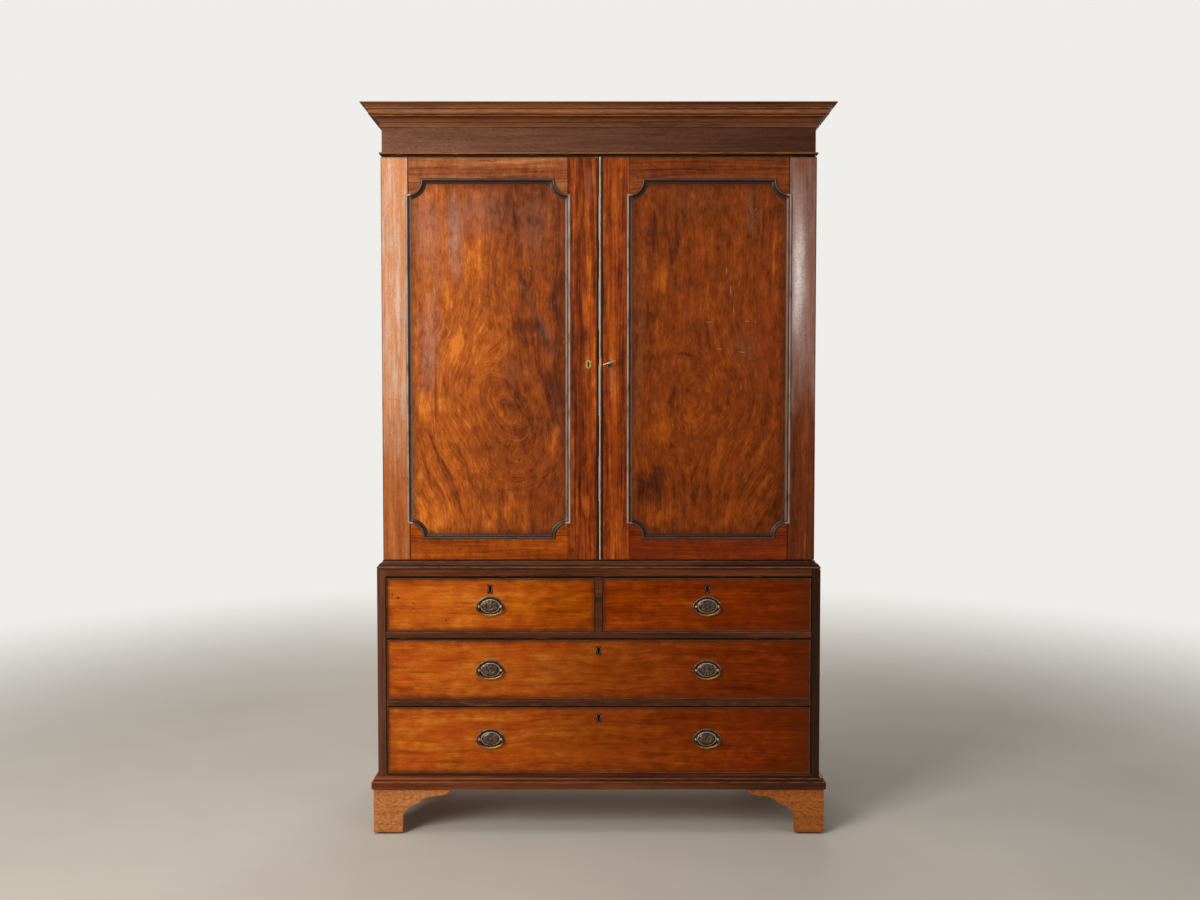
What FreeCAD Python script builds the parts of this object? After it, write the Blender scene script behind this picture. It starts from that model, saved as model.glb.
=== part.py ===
import FreeCAD, Part
import os

import Sketcher

# Linen press in mahogany: a lower chest of four drawers on bracket feet, an upper case with
# four sliding linen trays behind two panelled doors, and a lift-off cornice.
# Frame: +Z up, the front looks along -Y, the origin is on the floor under the middle of the
# whole box. Lengths are millimetres.

VECTOR = FreeCAD.Vector
ROTATION = FreeCAD.Rotation
X_AXIS = VECTOR(1, 0, 0)
Y_AXIS = VECTOR(0, 1, 0)
Z_AXIS = VECTOR(0, 0, 1)

doc = FreeCAD.newDocument("LinenPress")

DIMENSIONS = [
    # overall case
    ("lower_half", 611.5, "half width of the lower case"),
    ("lower_depth", 540, "depth of the lower case, drawer faces to back"),
    ("upper_half", 593, "half width of the upper case and the frieze"),
    ("side_thick", 24.5, "sides of the lower case"),
    ("upper_side", 20, "sides of the upper case"),
    ("board_thick", 20, "bottom and top boards of the lower case"),
    ("shelf_thick", 22, "bottom and top boards of the upper case"),
    ("back_thick", 10, "back boards of both cases"),
    ("back_rebate", 10, "rebate that holds the back boards"),
    ("board_gap", 0.6, "open joint between back boards"),
    # levels, from the floor up
    ("glide_height", 6, "metal dome under each foot"),
    ("foot_height", 127, "floor to the underside of the base moulding"),
    ("base_height", 33, "base moulding"),
    ("bottom_lip", 7, "bottom rail seen above the base moulding"),
    ("low_opening", 188, "height of the lowest drawer opening"),
    ("mid_opening", 168, "height of the middle drawer opening"),
    ("top_opening", 151, "height of the two short drawers' openings"),
    ("rail_thick", 20, "rails between drawers"),
    ("top_rail", 22, "rail above the short drawers"),
    ("waist_height", 23, "waist moulding"),
    ("door_foot_gap", 2, "waist moulding to door"),
    ("door_height", 1104, "doors"),
    ("door_head_gap", 6, "door to the bead under the frieze"),
    ("bead_height", 7.5, "bead under the frieze"),
    ("frieze_height", 66.5, "plain frieze above the bead"),
    ("cornice_height", 59, "cornice moulding"),
    # planes, from the drawer faces
    ("waist_inset", 15, "door faces behind the drawer faces"),
    ("frieze_back", 3, "frieze behind the door faces"),
    ("cornice_reach", 49.5, "cornice beyond the frieze"),
    ("bead_reach", 6.95, "bead beyond the frieze"),
    ("base_reach", 16.5, "base moulding beyond the lower case"),
    ("rail_depth", 60, "front rails, front to back"),
    ("divider_thick", 20, "upright between the short drawers"),
    ("runner_thick", 16, "drawer runners"),
    ("runner_width", 30, "drawer runners"),
    ("stop_height", 4, "drawer stops"),
    # feet
    ("foot_inset", 5, "foot face behind the base moulding's edge"),
    ("foot_thick", 20, "bracket boards"),
    ("ankle_width", 80, "bracket at the floor"),
    ("foot_wing", 133, "scrolled wing beyond the ankle"),
    ("glide_radius", 7, "metal dome under each foot"),
    ("glide_in", 50, "dome's place in from the foot's outer corner"),
    # doors
    ("door_half", 596, "half width over both doors"),
    ("door_thick", 22, "stiles and rails"),
    ("door_back_gap", 0.5, "door to the front edge of the upper case"),
    ("meeting_gap", 1, "each door's edge to the middle of the press"),
    ("outer_stile", 74.5, "hanging stile"),
    ("inner_stile", 83.5, "meeting stile"),
    ("door_rail", 64.5, "top and bottom rail"),
    ("tenon_length", 45, "rail tenons"),
    ("tenon_shoulder", 10, "edge shoulder of a tenon"),
    ("panel_recess", 6, "panel behind the frame"),
    ("panel_thick", 8, "panel"),
    ("panel_tongue", 8, "panel held in the frame's groove"),
    ("moulding_half", 7.5, "half width of the panel moulding"),
    ("corner_radius", 42.4, "re-entrant corner, at the moulding's middle"),
    ("astragal_width", 10.5, "bead on the right door's meeting edge"),
    ("astragal_rise", 4, "bead on the right door's meeting edge"),
    # hinges
    ("hinge_length", 75, "butt hinge"),
    ("hinge_end", 130, "hinge middle from the door's end"),
    ("knuckle_radius", 3.5, "hinge knuckle"),
    ("pin_radius", 1.5, "hinge pin"),
    ("pin_clear", 0.05, "running clearance of the door's knuckle"),
    ("leaf_thick", 2, "hinge leaf"),
    ("leaf_width", 19, "hinge leaf from the pin"),
    ("pin_inset", 1, "pin in from the door's edge"),
    # locks, bolts and key
    ("key_in", 28.5, "keyhole from the middle of the press"),
    ("door_key_height", 540, "keyhole above the foot of the door"),
    ("bolt_in", 8, "flush bolt from the middle of the press"),
    ("bolt_radius", 2.5, "flush bolt rod"),
    ("bolt_length", 150, "flush bolt rod"),
    ("bolt_rise", 3, "top bolt stands this far above the door"),
    ("bow_half", 17.5, "half width of the key's bow"),
    ("shank_radius", 2.3, "key shank"),
    ("bit_radius", 9, "key bit from the shank's axis"),
    # trays
    ("tray_half", 571.5, "half width of a tray"),
    ("tray_front", 50, "tray front behind the drawer faces"),
    ("tray_depth", 470, "tray, front to back"),
    ("tray_wall", 10, "tray sides and back"),
    ("tray_height", 110, "tray sides"),
    ("tray_lip", 78, "tray front"),
    # drawers
    ("front_thick", 20, "drawer front"),
    ("side_clear", 1, "drawer to its opening, each side"),
    ("drawer_wall", 10, "drawer sides and back"),
    ("drawer_depth", 500, "drawer, front to back"),
    ("lap", 10.5, "front left in front of the dovetails"),
    ("cock_thick", 3.5, "cock bead"),
    ("cock_rise", 2, "cock bead in front of the drawer"),
    ("cock_depth", 10, "cock bead let into the front"),
    ("bottom_thick", 6, "drawer and tray bottoms"),
    ("bottom_lift", 6, "drawer bottom above the sides' lower edge"),
    ("key_drop", 33, "drawer keyhole below the top of its opening"),
    ("short_plate_drop", 80, "plates of the short drawers below the top of their opening"),
    ("mid_plate_drop", 86, "plates of the middle drawer, the same way"),
    ("low_plate_drop", 90.5, "plates of the lowest drawer, the same way"),
    # brasses
    ("brass_x", 299.5, "plates from the middle of the press"),
    ("plate_half", 40.3, "oval plate, half width"),
    ("plate_rise", 28.3, "oval plate, half height"),
    ("plate_tip", 5, "oval plate, radius of its ends"),
    ("post_half", 30.5, "bail posts from the plate's middle"),
    ("bail_half", 39, "bail, half width"),
    ("bail_drop", 23.5, "bail, pivot to lowest point"),
    ("bail_radius", 2, "bail rod"),
    ("bail_out", 7, "bail pivot in front of the drawer"),
]


class Dim:
    """A length that carries its number and the spreadsheet expression that gives it."""

    def __init__(self, value, text):
        self.value = float(value)
        self.text = text

    def _with(self, other, sign, value):
        return Dim(value, f"({self.text} {sign} {other.text})")

    def __add__(self, other):
        other = dim(other)
        return self._with(other, "+", self.value + other.value)

    def __sub__(self, other):
        other = dim(other)
        return self._with(other, "-", self.value - other.value)

    def __mul__(self, other):
        other = dim(other)
        return self._with(other, "*", self.value * other.value)

    def __truediv__(self, other):
        other = dim(other)
        return self._with(other, "/", self.value / other.value)

    def __neg__(self):
        return Dim(-self.value, f"(0 - {self.text})")

    def __radd__(self, other):
        return dim(other) + self

    def __rsub__(self, other):
        return dim(other) - self

    def __rmul__(self, other):
        return dim(other) * self

    def root(self):
        return Dim(self.value ** 0.5, f"sqrt({self.text})")


def dim(size):
    return size if isinstance(size, Dim) else Dim(size, f"({float(size)})")


class Sizes:
    """The spreadsheet's cells, as attributes."""


def fill_sheet():
    sheet = doc.addObject("Spreadsheet::Sheet", "Dims")
    sizes = Sizes()
    for row, (alias, number, note) in enumerate(DIMENSIONS, start=1):
        sheet.set(f"A{row}", alias)
        sheet.set(f"B{row}", str(number))
        sheet.setAlias(f"B{row}", alias)
        sheet.set(f"C{row}", note)
        setattr(sizes, alias, Dim(number, f"Dims.{alias}"))
    return sizes


s = fill_sheet()
doc.recompute()

# ---------------------------------------------------------------- levels and planes
z_case = s.foot_height
z_base_top = z_case + s.base_height
z_low = z_base_top + s.bottom_lip
z_low_rail = z_low + s.low_opening
z_mid = z_low_rail + s.rail_thick
z_mid_rail = z_mid + s.mid_opening
z_short = z_mid_rail + s.rail_thick
z_top_rail = z_short + s.top_opening
z_waist = z_top_rail + s.top_rail
z_waist_top = z_waist + s.waist_height
z_door = z_waist_top + s.door_foot_gap
z_door_top = z_door + s.door_height
z_head = z_door_top + s.door_head_gap
z_cornice = z_head + s.bead_height + s.frieze_height
z_crown = z_cornice + s.cornice_height

y_front = (s.cornice_reach - s.waist_inset - s.frieze_back - s.lower_depth) / 2
y_back = y_front + s.lower_depth
y_boards = y_back - s.back_thick
y_door = y_front + s.waist_inset
y_door_back = y_door + s.door_thick
y_upper = y_door_back + s.door_back_gap
y_frieze = y_door + s.frieze_back

x_open = s.lower_half - s.side_thick
x_upper = s.upper_half - s.upper_side

# ---------------------------------------------------------------- building blocks
nodes = []


def bind(item, name, size):
    item.setExpression(name, dim(size).text)


def place(item, rotation, x=0, y=0, z=0):
    item.Placement = FreeCAD.Placement(VECTOR(), rotation)
    for letter, size in zip("xyz", (x, y, z)):
        bind(item, f"Placement.Base.{letter}", size)
    return item


def ordered(span):
    return sorted((dim(size) for size in span), key=lambda size: size.value)


def box(name, x, y, z):
    """A board between two planes on each axis."""
    board = doc.addObject("Part::Box", name)
    for prop, letter, span in zip(("Length", "Width", "Height"), "xyz", (x, y, z)):
        low, high = ordered(span)
        bind(board, prop, high - low)
        bind(board, f"Placement.Base.{letter}", low)
    return board


TURN_TO = {
    "x": ROTATION(Y_AXIS, 90),
    "y": ROTATION(X_AXIS, -90),
    "z": ROTATION(),
}


def rod(name, axis, radius, x, y, z):
    """A cylinder along one axis; that axis is given as a span, the others as its centre."""
    spans = {"x": x, "y": y, "z": z}
    low, high = ordered(spans[axis])
    spans[axis] = low
    cylinder = doc.addObject("Part::Cylinder", name)
    bind(cylinder, "Radius", radius)
    bind(cylinder, "Height", high - low)
    return place(cylinder, TURN_TO[axis], **spans)


def cut(name, base, *tools):
    for number, tool in enumerate(tools):
        result = doc.addObject("Part::Cut", f"{name}_{number}")
        result.Base = base
        result.Tool = tool
        base = result
    return base


def fuse(name, *shapes):
    joined = doc.addObject("Part::MultiFuse", name)
    joined.Shapes = list(shapes)
    return joined


def node(label, *pieces):
    """One named sub-part: its separate pieces as a compound."""
    group = doc.addObject("Part::Compound", label)
    group.Label = label
    group.Links = list(pieces)
    nodes.append(group)
    return group


def new_body(name):
    return doc.addObject("PartDesign::Body", name)


def new_sketch(body, role, name, offset=0):
    """A sketch on one of the body's own origin planes, moved along its normal."""
    sketch = body.newObject("Sketcher::SketchObject", name)
    plane = next(item for item in body.Origin.OriginFeatures if item.Role == role)
    sketch.AttachmentSupport = [(plane, "")]
    sketch.MapMode = "FlatFace"
    bind(sketch, "AttachmentOffset.Base.z", offset)
    return sketch


def arc_middle(start, end, radius):
    """The middle of the short arc that leaves the chord to its left (radius > 0) or right."""
    chord = end - start
    half = chord.Length / 2
    rise = abs(radius) - (radius * radius - half * half) ** 0.5
    left = VECTOR(-chord.y, chord.x, 0).normalize()
    side = 1 if radius > 0 else -1
    return (start + end) * 0.5 + left * (rise * side)


def draw(sketch, outline, closed=True):
    """Draw an outline of (u, v) or (u, v, radius) corners. A radius bends the edge that
    leaves its corner; every corner and radius is bound to its expression."""
    corners = [VECTOR(dim(c[0]).value, dim(c[1]).value, 0) for c in outline]
    count = len(corners)
    first = sketch.GeometryCount
    edges = count if closed else count - 1
    ends = []
    for index in range(edges):
        start = corners[index]
        end = corners[(index + 1) % count]
        if len(outline[index]) == 3:
            middle = arc_middle(start, end, dim(outline[index][2]).value)
            edge = sketch.addGeometry(Part.Arc(start, middle, end))
        else:
            edge = sketch.addGeometry(Part.LineSegment(start, end))
        flipped = (sketch.getPoint(edge, 1) - start).Length > (sketch.getPoint(edge, 2) - start).Length
        ends.append((2, 1) if flipped else (1, 2))
    for index in range(edges if closed else edges - 1):
        after = (index + 1) % edges
        joint = Sketcher.Constraint(
            "Coincident", first + index, ends[index][1], first + after, ends[after][0])
        sketch.addConstraint(joint)
    for index, corner in enumerate(outline):
        edge = min(index, edges - 1)
        point = ends[edge][0] if index < edges else ends[edge][1]
        for kind, size in zip(("DistanceX", "DistanceY"), corner[:2]):
            number = sketch.addConstraint(
                Sketcher.Constraint(kind, -1, 1, first + edge, point, dim(size).value))
            sketch.setExpression(f"Constraints[{number}]", dim(size).text)
        if len(corner) == 3:
            radius = dim(corner[2])
            if radius.value < 0:
                radius = -radius
            number = sketch.addConstraint(
                Sketcher.Constraint("Radius", first + index, radius.value))
            sketch.setExpression(f"Constraints[{number}]", radius.text)


def pad(body, sketch, length, symmetric=False, backwards=False):
    feature = body.newObject("PartDesign::Pad", f"{body.Name}_pad")
    feature.Profile = sketch
    feature.SideType = "Symmetric" if symmetric else "One side"
    feature.Reversed = backwards
    bind(feature, "Length", length)
    return feature


def pocket_through(body, sketch):
    feature = body.newObject("PartDesign::Pocket", f"{body.Name}_pocket")
    feature.Profile = sketch
    feature.Type = "ThroughAll"
    feature.SideType = "Symmetric"
    return feature


def prism(name, role, outline, length, backwards=False):
    body = new_body(name)
    sketch = new_sketch(body, role, f"{name}_outline")
    draw(sketch, outline)
    pad(body, sketch, length, backwards=backwards)
    return body


def oval(half_width, half_height, end_radius, x=0, y=0):
    """A four-centred oval as an outline."""
    run = half_width - end_radius
    side_radius = (run * run + half_height * half_height - end_radius * end_radius) / (
        2 * (half_height - end_radius))
    drop = side_radius - half_height
    reach = side_radius - end_radius
    u = run + end_radius * run / reach
    v = end_radius * drop / reach
    return [
        (x + u, y + v, -side_radius),
        (x - u, y + v, -end_radius),
        (x - u, y - v, -side_radius),
        (x + u, y - v, -end_radius),
    ]


# ---------------------------------------------------------------- mitred mouldings
MARGIN = 2


def end_cut(sketch, side, mitred, half_run, back, reach, heel):
    """Waste beyond one end of a moulding: 45 degrees from the heel outwards, or square."""
    far = half_run + reach + 2 * MARGIN
    if mitred:
        edge = [
            (half_run + heel, back - MARGIN),
            (half_run + heel, heel),
            (half_run + reach + MARGIN, reach + MARGIN),
            (far, reach + MARGIN),
            (far, back - MARGIN),
        ]
    else:
        edge = [
            (half_run, back - MARGIN),
            (half_run, reach + MARGIN),
            (far, reach + MARGIN),
            (far, back - MARGIN),
        ]
    draw(sketch, [(side * u, v) for u, v in edge])


def moulding(name, profile, half_run, back, reach, ends=(True, True), heel=None):
    """A length of moulding along local X: local Y is outwards, local Z its height.
    half_run is half its length on the line Y = 0, back and reach bound its profile."""
    heel = back if heel is None else heel
    body = new_body(name)
    section = new_sketch(body, "YZ_Plane", f"{name}_section")
    draw(section, profile)
    pad(body, section, 2 * (half_run + reach + MARGIN), symmetric=True)
    waste = new_sketch(body, "XY_Plane", f"{name}_ends")
    for side, mitred in zip((-1, 1), ends):
        end_cut(waste, side, mitred, half_run, dim(back), reach, heel)
    pocket_through(body, waste)
    return body


def three_sided(label, profile, half_width, y_face, z, back, reach, side_back=None):
    """A moulding on the front and both sides, mitred at the front corners."""
    side_back = back if side_back is None else side_back
    front = moulding(f"{label}_front", profile(back), half_width, back, reach, heel=side_back)
    place(front, ROTATION(Z_AXIS, 180), 0, y_face, z)
    half_side = (y_back - y_face) / 2
    y_middle = (y_back + y_face) / 2
    left = moulding(f"{label}_left", profile(side_back), half_side, side_back, reach,
                    ends=(True, False))
    place(left, ROTATION(Z_AXIS, 90), -half_width, y_middle, z)
    right = moulding(f"{label}_right", profile(side_back), half_side, side_back, reach,
                     ends=(False, True))
    place(right, ROTATION(Z_AXIS, -90), half_width, y_middle, z)
    return front, left, right


def cornice_profile(back):
    """Fillet, cavetto, corona, astragal, cove, groove and foot band, from the top down."""
    top = s.cornice_height
    reach = s.cornice_reach
    return [
        (back, 0),
        (0.8, 0, -4),
        (5, 3),
        (5, 12.5),
        (3.5, 12.5),
        (3.5, 14),
        (6.5, 14),
        (6.5, 15, 13),
        (reach - 30, top - 34),
        (reach - 30, top - 32.5),
        (reach - 27.5, top - 32.5, -2.6),
        (reach - 27.5, top - 28),
        (reach - 18.5, top - 28),
        (reach - 18.5, top - 14.5),
        (reach - 12.5, top - 14.5),
        (reach - 12.5, top - 13, 12),
        (reach - 1, top - 2.5),
        (reach, top - 2.5),
        (reach, top),
        (back, top),
    ]


def bead_profile(back):
    nose = s.bead_height / 2
    return [
        (back, 0),
        (s.bead_reach - nose, 0, -(nose + 0.01)),
        (s.bead_reach - nose, s.bead_height),
        (back, s.bead_height),
    ]


def waist_profile(back):
    """Half-round bead flush with the lower case, quirk, then an ogee up to the doors."""
    ledge = -(s.waist_inset - 1.5)
    return [
        (back, 0),
        (-2.5, 0),
        (-2.5, 0.3, -5),
        (-2.5, 9.3),
        (-3.8, 9.3),
        (-3.8, 10.6, -5.5),
        (-8.6, 15.4, 5.5),
        (ledge, 20.3),
        (ledge, s.waist_height),
        (back, s.waist_height),
    ]


def base_profile(back):
    """Fascia with a rounded top, quirk, bead and top fillet."""
    reach = s.base_reach
    return [
        (back, 0),
        (reach - 1, 0),
        (reach, 1),
        (reach, 18, -4.2),
        (reach - 4, 22),
        (reach - 5.5, 22),
        (reach - 5.5, 24),
        (reach - 6, 24, -4.4),
        (reach - 10.5, 30.5),
        (reach - 14, 30.5),
        (reach - 14, s.base_height),
        (back, s.base_height),
    ]


# ---------------------------------------------------------------- cornice
def bolt_bore(name, z_low_end, z_high_end):
    """Clear hole that a flush bolt of the left door shoots into."""
    return rod(name, "z", s.bolt_radius + 0.4, -s.bolt_in, y_door + s.door_thick / 2,
               (z_low_end, z_high_end))


def make_cornice():
    node("cornice_moulding", *three_sided(
        "cornice", cornice_profile, s.upper_half, y_frieze, z_cornice, dim(0), s.cornice_reach))
    node("cornice_bead", *three_sided(
        "frieze_bead", bead_profile, s.upper_half, y_frieze, z_head, dim(0), s.bead_reach))
    thick = s.door_thick
    inner = s.upper_half - thick
    z_top = z_crown - 4
    front = box("frieze_front", (-s.upper_half, s.upper_half), (y_frieze, y_frieze + thick),
                (z_head, z_top))
    front = cut("frieze_board", front, bolt_bore("frieze_bore", z_head - 1, z_head + 14))
    pieces = [front]
    for side, name in ((-1, "left"), (1, "right")):
        pieces.append(box(f"frieze_{name}", (side * inner, side * s.upper_half),
                          (y_frieze + thick, y_back), (z_head, z_top)))
        for end, y_block, way in (("front", y_frieze + thick, 1), ("rear", y_back - thick, -1)):
            pieces.append(box(f"cornice_block_{name}_{end}", (side * (inner - 35), side * inner),
                              (y_block, y_block + way * 35), (z_head, z_head + 90)))
    pieces.append(box("cornice_rear_rail", (-inner, inner), (y_back - thick, y_back),
                      (z_head, z_top)))
    pieces.append(box("cornice_brace", (-30, 30), (y_frieze + thick, y_back - thick),
                      (z_head, z_head + 22)))
    node("cornice_frieze", *pieces)


# ---------------------------------------------------------------- upper case
def hinge_levels():
    middle = z_door + s.door_height / 2
    return (z_door + s.hinge_end, middle, z_door_top - s.hinge_end)


def hinge_recess(name, side, z, y_leaf):
    """Room in the wood for a leaf and for the turning knuckles."""
    x_pin = s.door_half - s.pin_inset
    half = s.hinge_length / 2 + 0.2
    leaf = box(f"{name}_leaf_room", (side * (x_pin - s.leaf_width), side * (x_pin + 4)),
               y_leaf, (z - half, z + half))
    barrel = rod(f"{name}_barrel_room", "z", s.knuckle_radius + 0.5, side * x_pin,
                 y_door_back + s.door_back_gap / 2, (z - half - 0.3, z + half + 0.3))
    return leaf, barrel


def hinge_leaf(name, side, z, y_leaf, knuckles, bore):
    """A brass leaf with its knuckles; the joint is cut in three."""
    x_pin = s.door_half - s.pin_inset
    y_pin = y_door_back + s.door_back_gap / 2
    half = s.hinge_length / 2
    third = s.hinge_length / 3
    parts = [box(f"{name}_plate", (side * (x_pin - s.leaf_width), side * (x_pin - 3.9)),
                 y_leaf, (z - half, z + half))]
    for number in knuckles:
        z_low_end = z - half + third * number + 0.2
        z_high_end = z_low_end + third - 0.4
        parts.append(rod(f"{name}_knuckle_{number}", "z", s.knuckle_radius, side * x_pin,
                         y_pin, (z_low_end, z_high_end)))
        parts.append(box(f"{name}_root_{number}", (side * (x_pin - 4.5), side * x_pin),
                         y_leaf, (z_low_end, z_high_end)))
    whole = fuse(f"{name}_metal", *parts)
    hole = rod(f"{name}_bore", "z", bore, side * x_pin, y_pin, (z - half - 1, z + half + 1))
    return cut(name, whole, hole)


def make_upper_case():
    sides = []
    for side, name in ((-1, "left"), (1, "right")):
        board = box(f"upper_{name}", (side * x_upper, side * s.upper_half), (y_upper, y_back),
                    (z_waist, z_head))
        rebate = box(f"upper_{name}_rebate", (side * x_upper, side * (x_upper + s.back_rebate)),
                     (y_boards, y_back), (z_waist, z_head))
        rooms = [rebate]
        for number, z in enumerate(hinge_levels()):
            rooms += hinge_recess(f"case_hinge_{name}_{number}", side, z,
                                  (y_upper, y_upper + s.leaf_thick))
        sides.append(cut(f"upper_side_{name}", board, *rooms))
    node("upper_case_sides", *sides)

    node("upper_case_boards",
         box("upper_bottom", (-x_upper, x_upper), (y_upper, y_boards),
             (z_waist, z_waist + s.shelf_thick)),
         box("upper_top", (-x_upper, x_upper), (y_upper, y_boards),
             (z_head - s.shelf_thick, z_head)))

    board_count = 6
    x_back = x_upper + s.back_rebate
    width = 2 * x_back / board_count
    boards = []
    for number in range(board_count):
        left = -x_back + width * number
        boards.append(box(f"upper_back_{number}",
                          (left + s.board_gap / 2, left + width - s.board_gap / 2),
                          (y_boards, y_back), (z_waist, z_head)))
    node("upper_case_back", *boards)

    leaves = []
    for side, name in ((-1, "left"), (1, "right")):
        for number, z in enumerate(hinge_levels()):
            leaves.append(hinge_leaf(f"case_leaf_{name}_{number}", side, z,
                                     (y_upper, y_upper + s.leaf_thick), (0, 2), s.pin_radius))
            half = s.hinge_length / 2
            leaves.append(rod(f"hinge_pin_{name}_{number}", "z", s.pin_radius,
                              side * (s.door_half - s.pin_inset),
                              y_door_back + s.door_back_gap / 2, (z - half, z + half)))
    node("case_hinges", *leaves)


TRAY_COUNT = 4
tray_floor = z_waist + s.shelf_thick
tray_pitch = (s.door_height - s.shelf_thick + s.door_head_gap + 3) / TRAY_COUNT
RUNNER_HEIGHT = 14
RUN_CLEAR = 0.3


def tray_level(number):
    """Top of the runners that carry this tray."""
    return tray_floor + RUNNER_HEIGHT + tray_pitch * number


def make_tray_runners():
    strips = []
    for number in range(TRAY_COUNT):
        z = tray_level(number)
        for side, name in ((-1, "left"), (1, "right")):
            strips.append(box(f"tray_runner_{name}_{number}",
                              (side * (x_upper - 18), side * x_upper),
                              (y_front + s.tray_front, y_boards - 4),
                              (z - RUNNER_HEIGHT, z)))
    node("tray_runners", *strips)


def make_tray(number):
    """A shallow tray with a low front, dipped in the middle for the hand."""
    name = f"linen_tray_{number + 1}"
    z = tray_level(number) + RUN_CLEAR
    y = y_front + s.tray_front
    y_end = y + s.tray_depth
    dip = 220
    lip = s.tray_lip
    front = prism(f"{name}_front", "XZ_Plane", [
        (-s.tray_half, 0),
        (s.tray_half, 0),
        (s.tray_half, lip),
        (dip, lip, 1100),
        (-dip, lip),
        (-s.tray_half, lip),
    ], s.tray_wall + 2, backwards=True)
    place(front, ROTATION(), 0, y, z)
    bottom = box(f"{name}_bottom", (-s.tray_half + 5, s.tray_half - 5),
                 (y + 5, y_end - 5), (z + 4, z + 4 + s.bottom_thick))
    pieces = []
    for side, hand in ((-1, "left"), (1, "right")):
        wall = box(f"{name}_{hand}", (side * (s.tray_half - s.tray_wall), side * s.tray_half),
                   (y + s.tray_wall + 2, y_end), (z, z + s.tray_height))
        pieces.append(cut(f"{name}_{hand}_wall", wall, bottom))
    back = box(f"{name}_back", (-(s.tray_half - s.tray_wall), s.tray_half - s.tray_wall),
               (y_end - s.tray_wall, y_end), (z, z + s.tray_height))
    pieces.append(cut(f"{name}_back_wall", back, bottom))
    pieces.append(cut(f"{name}_front_wall", front, bottom))
    pieces.append(bottom)
    node(name, *pieces)


# ---------------------------------------------------------------- lower case
LOCK_HALF = 25
BOLT_Y = 14
BOLT_THICK = 4
BOLT_HALF = 10
BOLT_THROW = 9


def lock_mortise(name, x, z):
    """Clear pocket in the rail above a drawer, for the lock's bolt."""
    return box(name, (x - BOLT_HALF - 1, x + BOLT_HALF + 1),
               (y_front + BOLT_Y - 0.5, y_front + BOLT_Y + BOLT_THICK + 0.5),
               (z, z + BOLT_THROW + 2))


def make_lower_case():
    sides = []
    for side, name in ((-1, "left"), (1, "right")):
        board = box(f"lower_{name}", (side * x_open, side * s.lower_half), (y_front, y_back),
                    (z_case, z_waist))
        rebate = box(f"lower_{name}_rebate", (side * x_open, side * (x_open + s.back_rebate)),
                     (y_boards, y_back), (z_case, z_waist))
        sides.append(cut(f"lower_side_{name}", board, rebate))
    node("lower_case_sides", *sides)

    node("lower_case_boards",
         box("lower_bottom", (-x_open, x_open), (y_front + s.board_thick, y_boards),
             (z_low - s.board_thick, z_low)),
         box("lower_top", (-x_open, x_open), (y_front + s.rail_depth, y_boards),
             (z_waist - s.board_thick, z_waist)))

    board_count = 4
    z_foot = z_low - s.board_thick
    height = (z_waist - z_foot) / board_count
    x_back = x_open + s.back_rebate
    boards = []
    for number in range(board_count):
        low = z_foot + height * number
        boards.append(box(f"lower_back_{number}", (-x_back, x_back), (y_boards, y_back),
                          (low + s.board_gap / 2, low + height - s.board_gap / 2)))
    node("lower_case_back", *boards)

    depth = (y_front, y_front + s.rail_depth)
    width = (-x_open, x_open)
    top = cut("rail_top", box("rail_top_board", width, depth, (z_top_rail, z_waist)),
              lock_mortise("mortise_left", -s.brass_x, z_top_rail),
              lock_mortise("mortise_right", s.brass_x, z_top_rail))
    upper = cut("rail_upper", box("rail_upper_board", width, depth, (z_mid_rail, z_short)),
                lock_mortise("mortise_mid", dim(0), z_mid_rail))
    lower = cut("rail_lower", box("rail_lower_board", width, depth, (z_low_rail, z_mid)),
                lock_mortise("mortise_low", dim(0), z_low_rail))
    bottom = box("rail_bottom", width, (y_front, y_front + s.board_thick), (z_case, z_low))
    divider = box("rail_divider", (-s.divider_thick / 2, s.divider_thick / 2), depth,
                  (z_short, z_top_rail))
    node("drawer_rails", top, upper, lower, bottom, divider)

    behind = (y_front + s.rail_depth, y_boards)
    strips = []
    for row, z in (("short", z_short), ("mid", z_mid)):
        for side, name in ((-1, "left"), (1, "right")):
            strips.append(box(f"runner_{row}_{name}",
                              (side * (x_open - s.runner_width), side * x_open),
                              behind, (z - s.runner_thick, z)))
    strips.append(box("runner_middle", (-s.runner_width, s.runner_width), behind,
                      (z_short - s.runner_thick, z_short)))
    strips.append(box("guide_middle", (-s.divider_thick / 2 + 0.5, s.divider_thick / 2 - 0.5),
                      behind, (z_short, z_short + 40)))
    stop_rows = ((z_low, (-420, 420)), (z_mid, (-420, 420)), (z_short, (-520, -80, 80, 520)))
    for row, (z, places) in enumerate(stop_rows):
        for number, x in enumerate(places):
            strips.append(box(f"stop_{row}_{number}", (dim(x) - 20, dim(x) + 20),
                              (y_front + s.front_thick + RUN_CLEAR,
                               y_front + s.front_thick + 14),
                              (z, z + s.stop_height)))
    node("drawer_runners", *strips)


def make_waist_and_base():
    side_back = s.upper_half - s.lower_half
    front_back = y_front - y_upper
    front, left, right = three_sided("waist", waist_profile, s.lower_half, y_front, z_waist,
                                     front_back, dim(2.6), side_back)
    front = cut("waist_front_piece", front,
                bolt_bore("waist_bore", z_waist_top - 14, z_waist_top + 1))
    node("waist_moulding", front, left, right)
    node("base_moulding", *three_sided("base", base_profile, s.lower_half, y_front, z_case,
                                       dim(0), s.base_reach))


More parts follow.
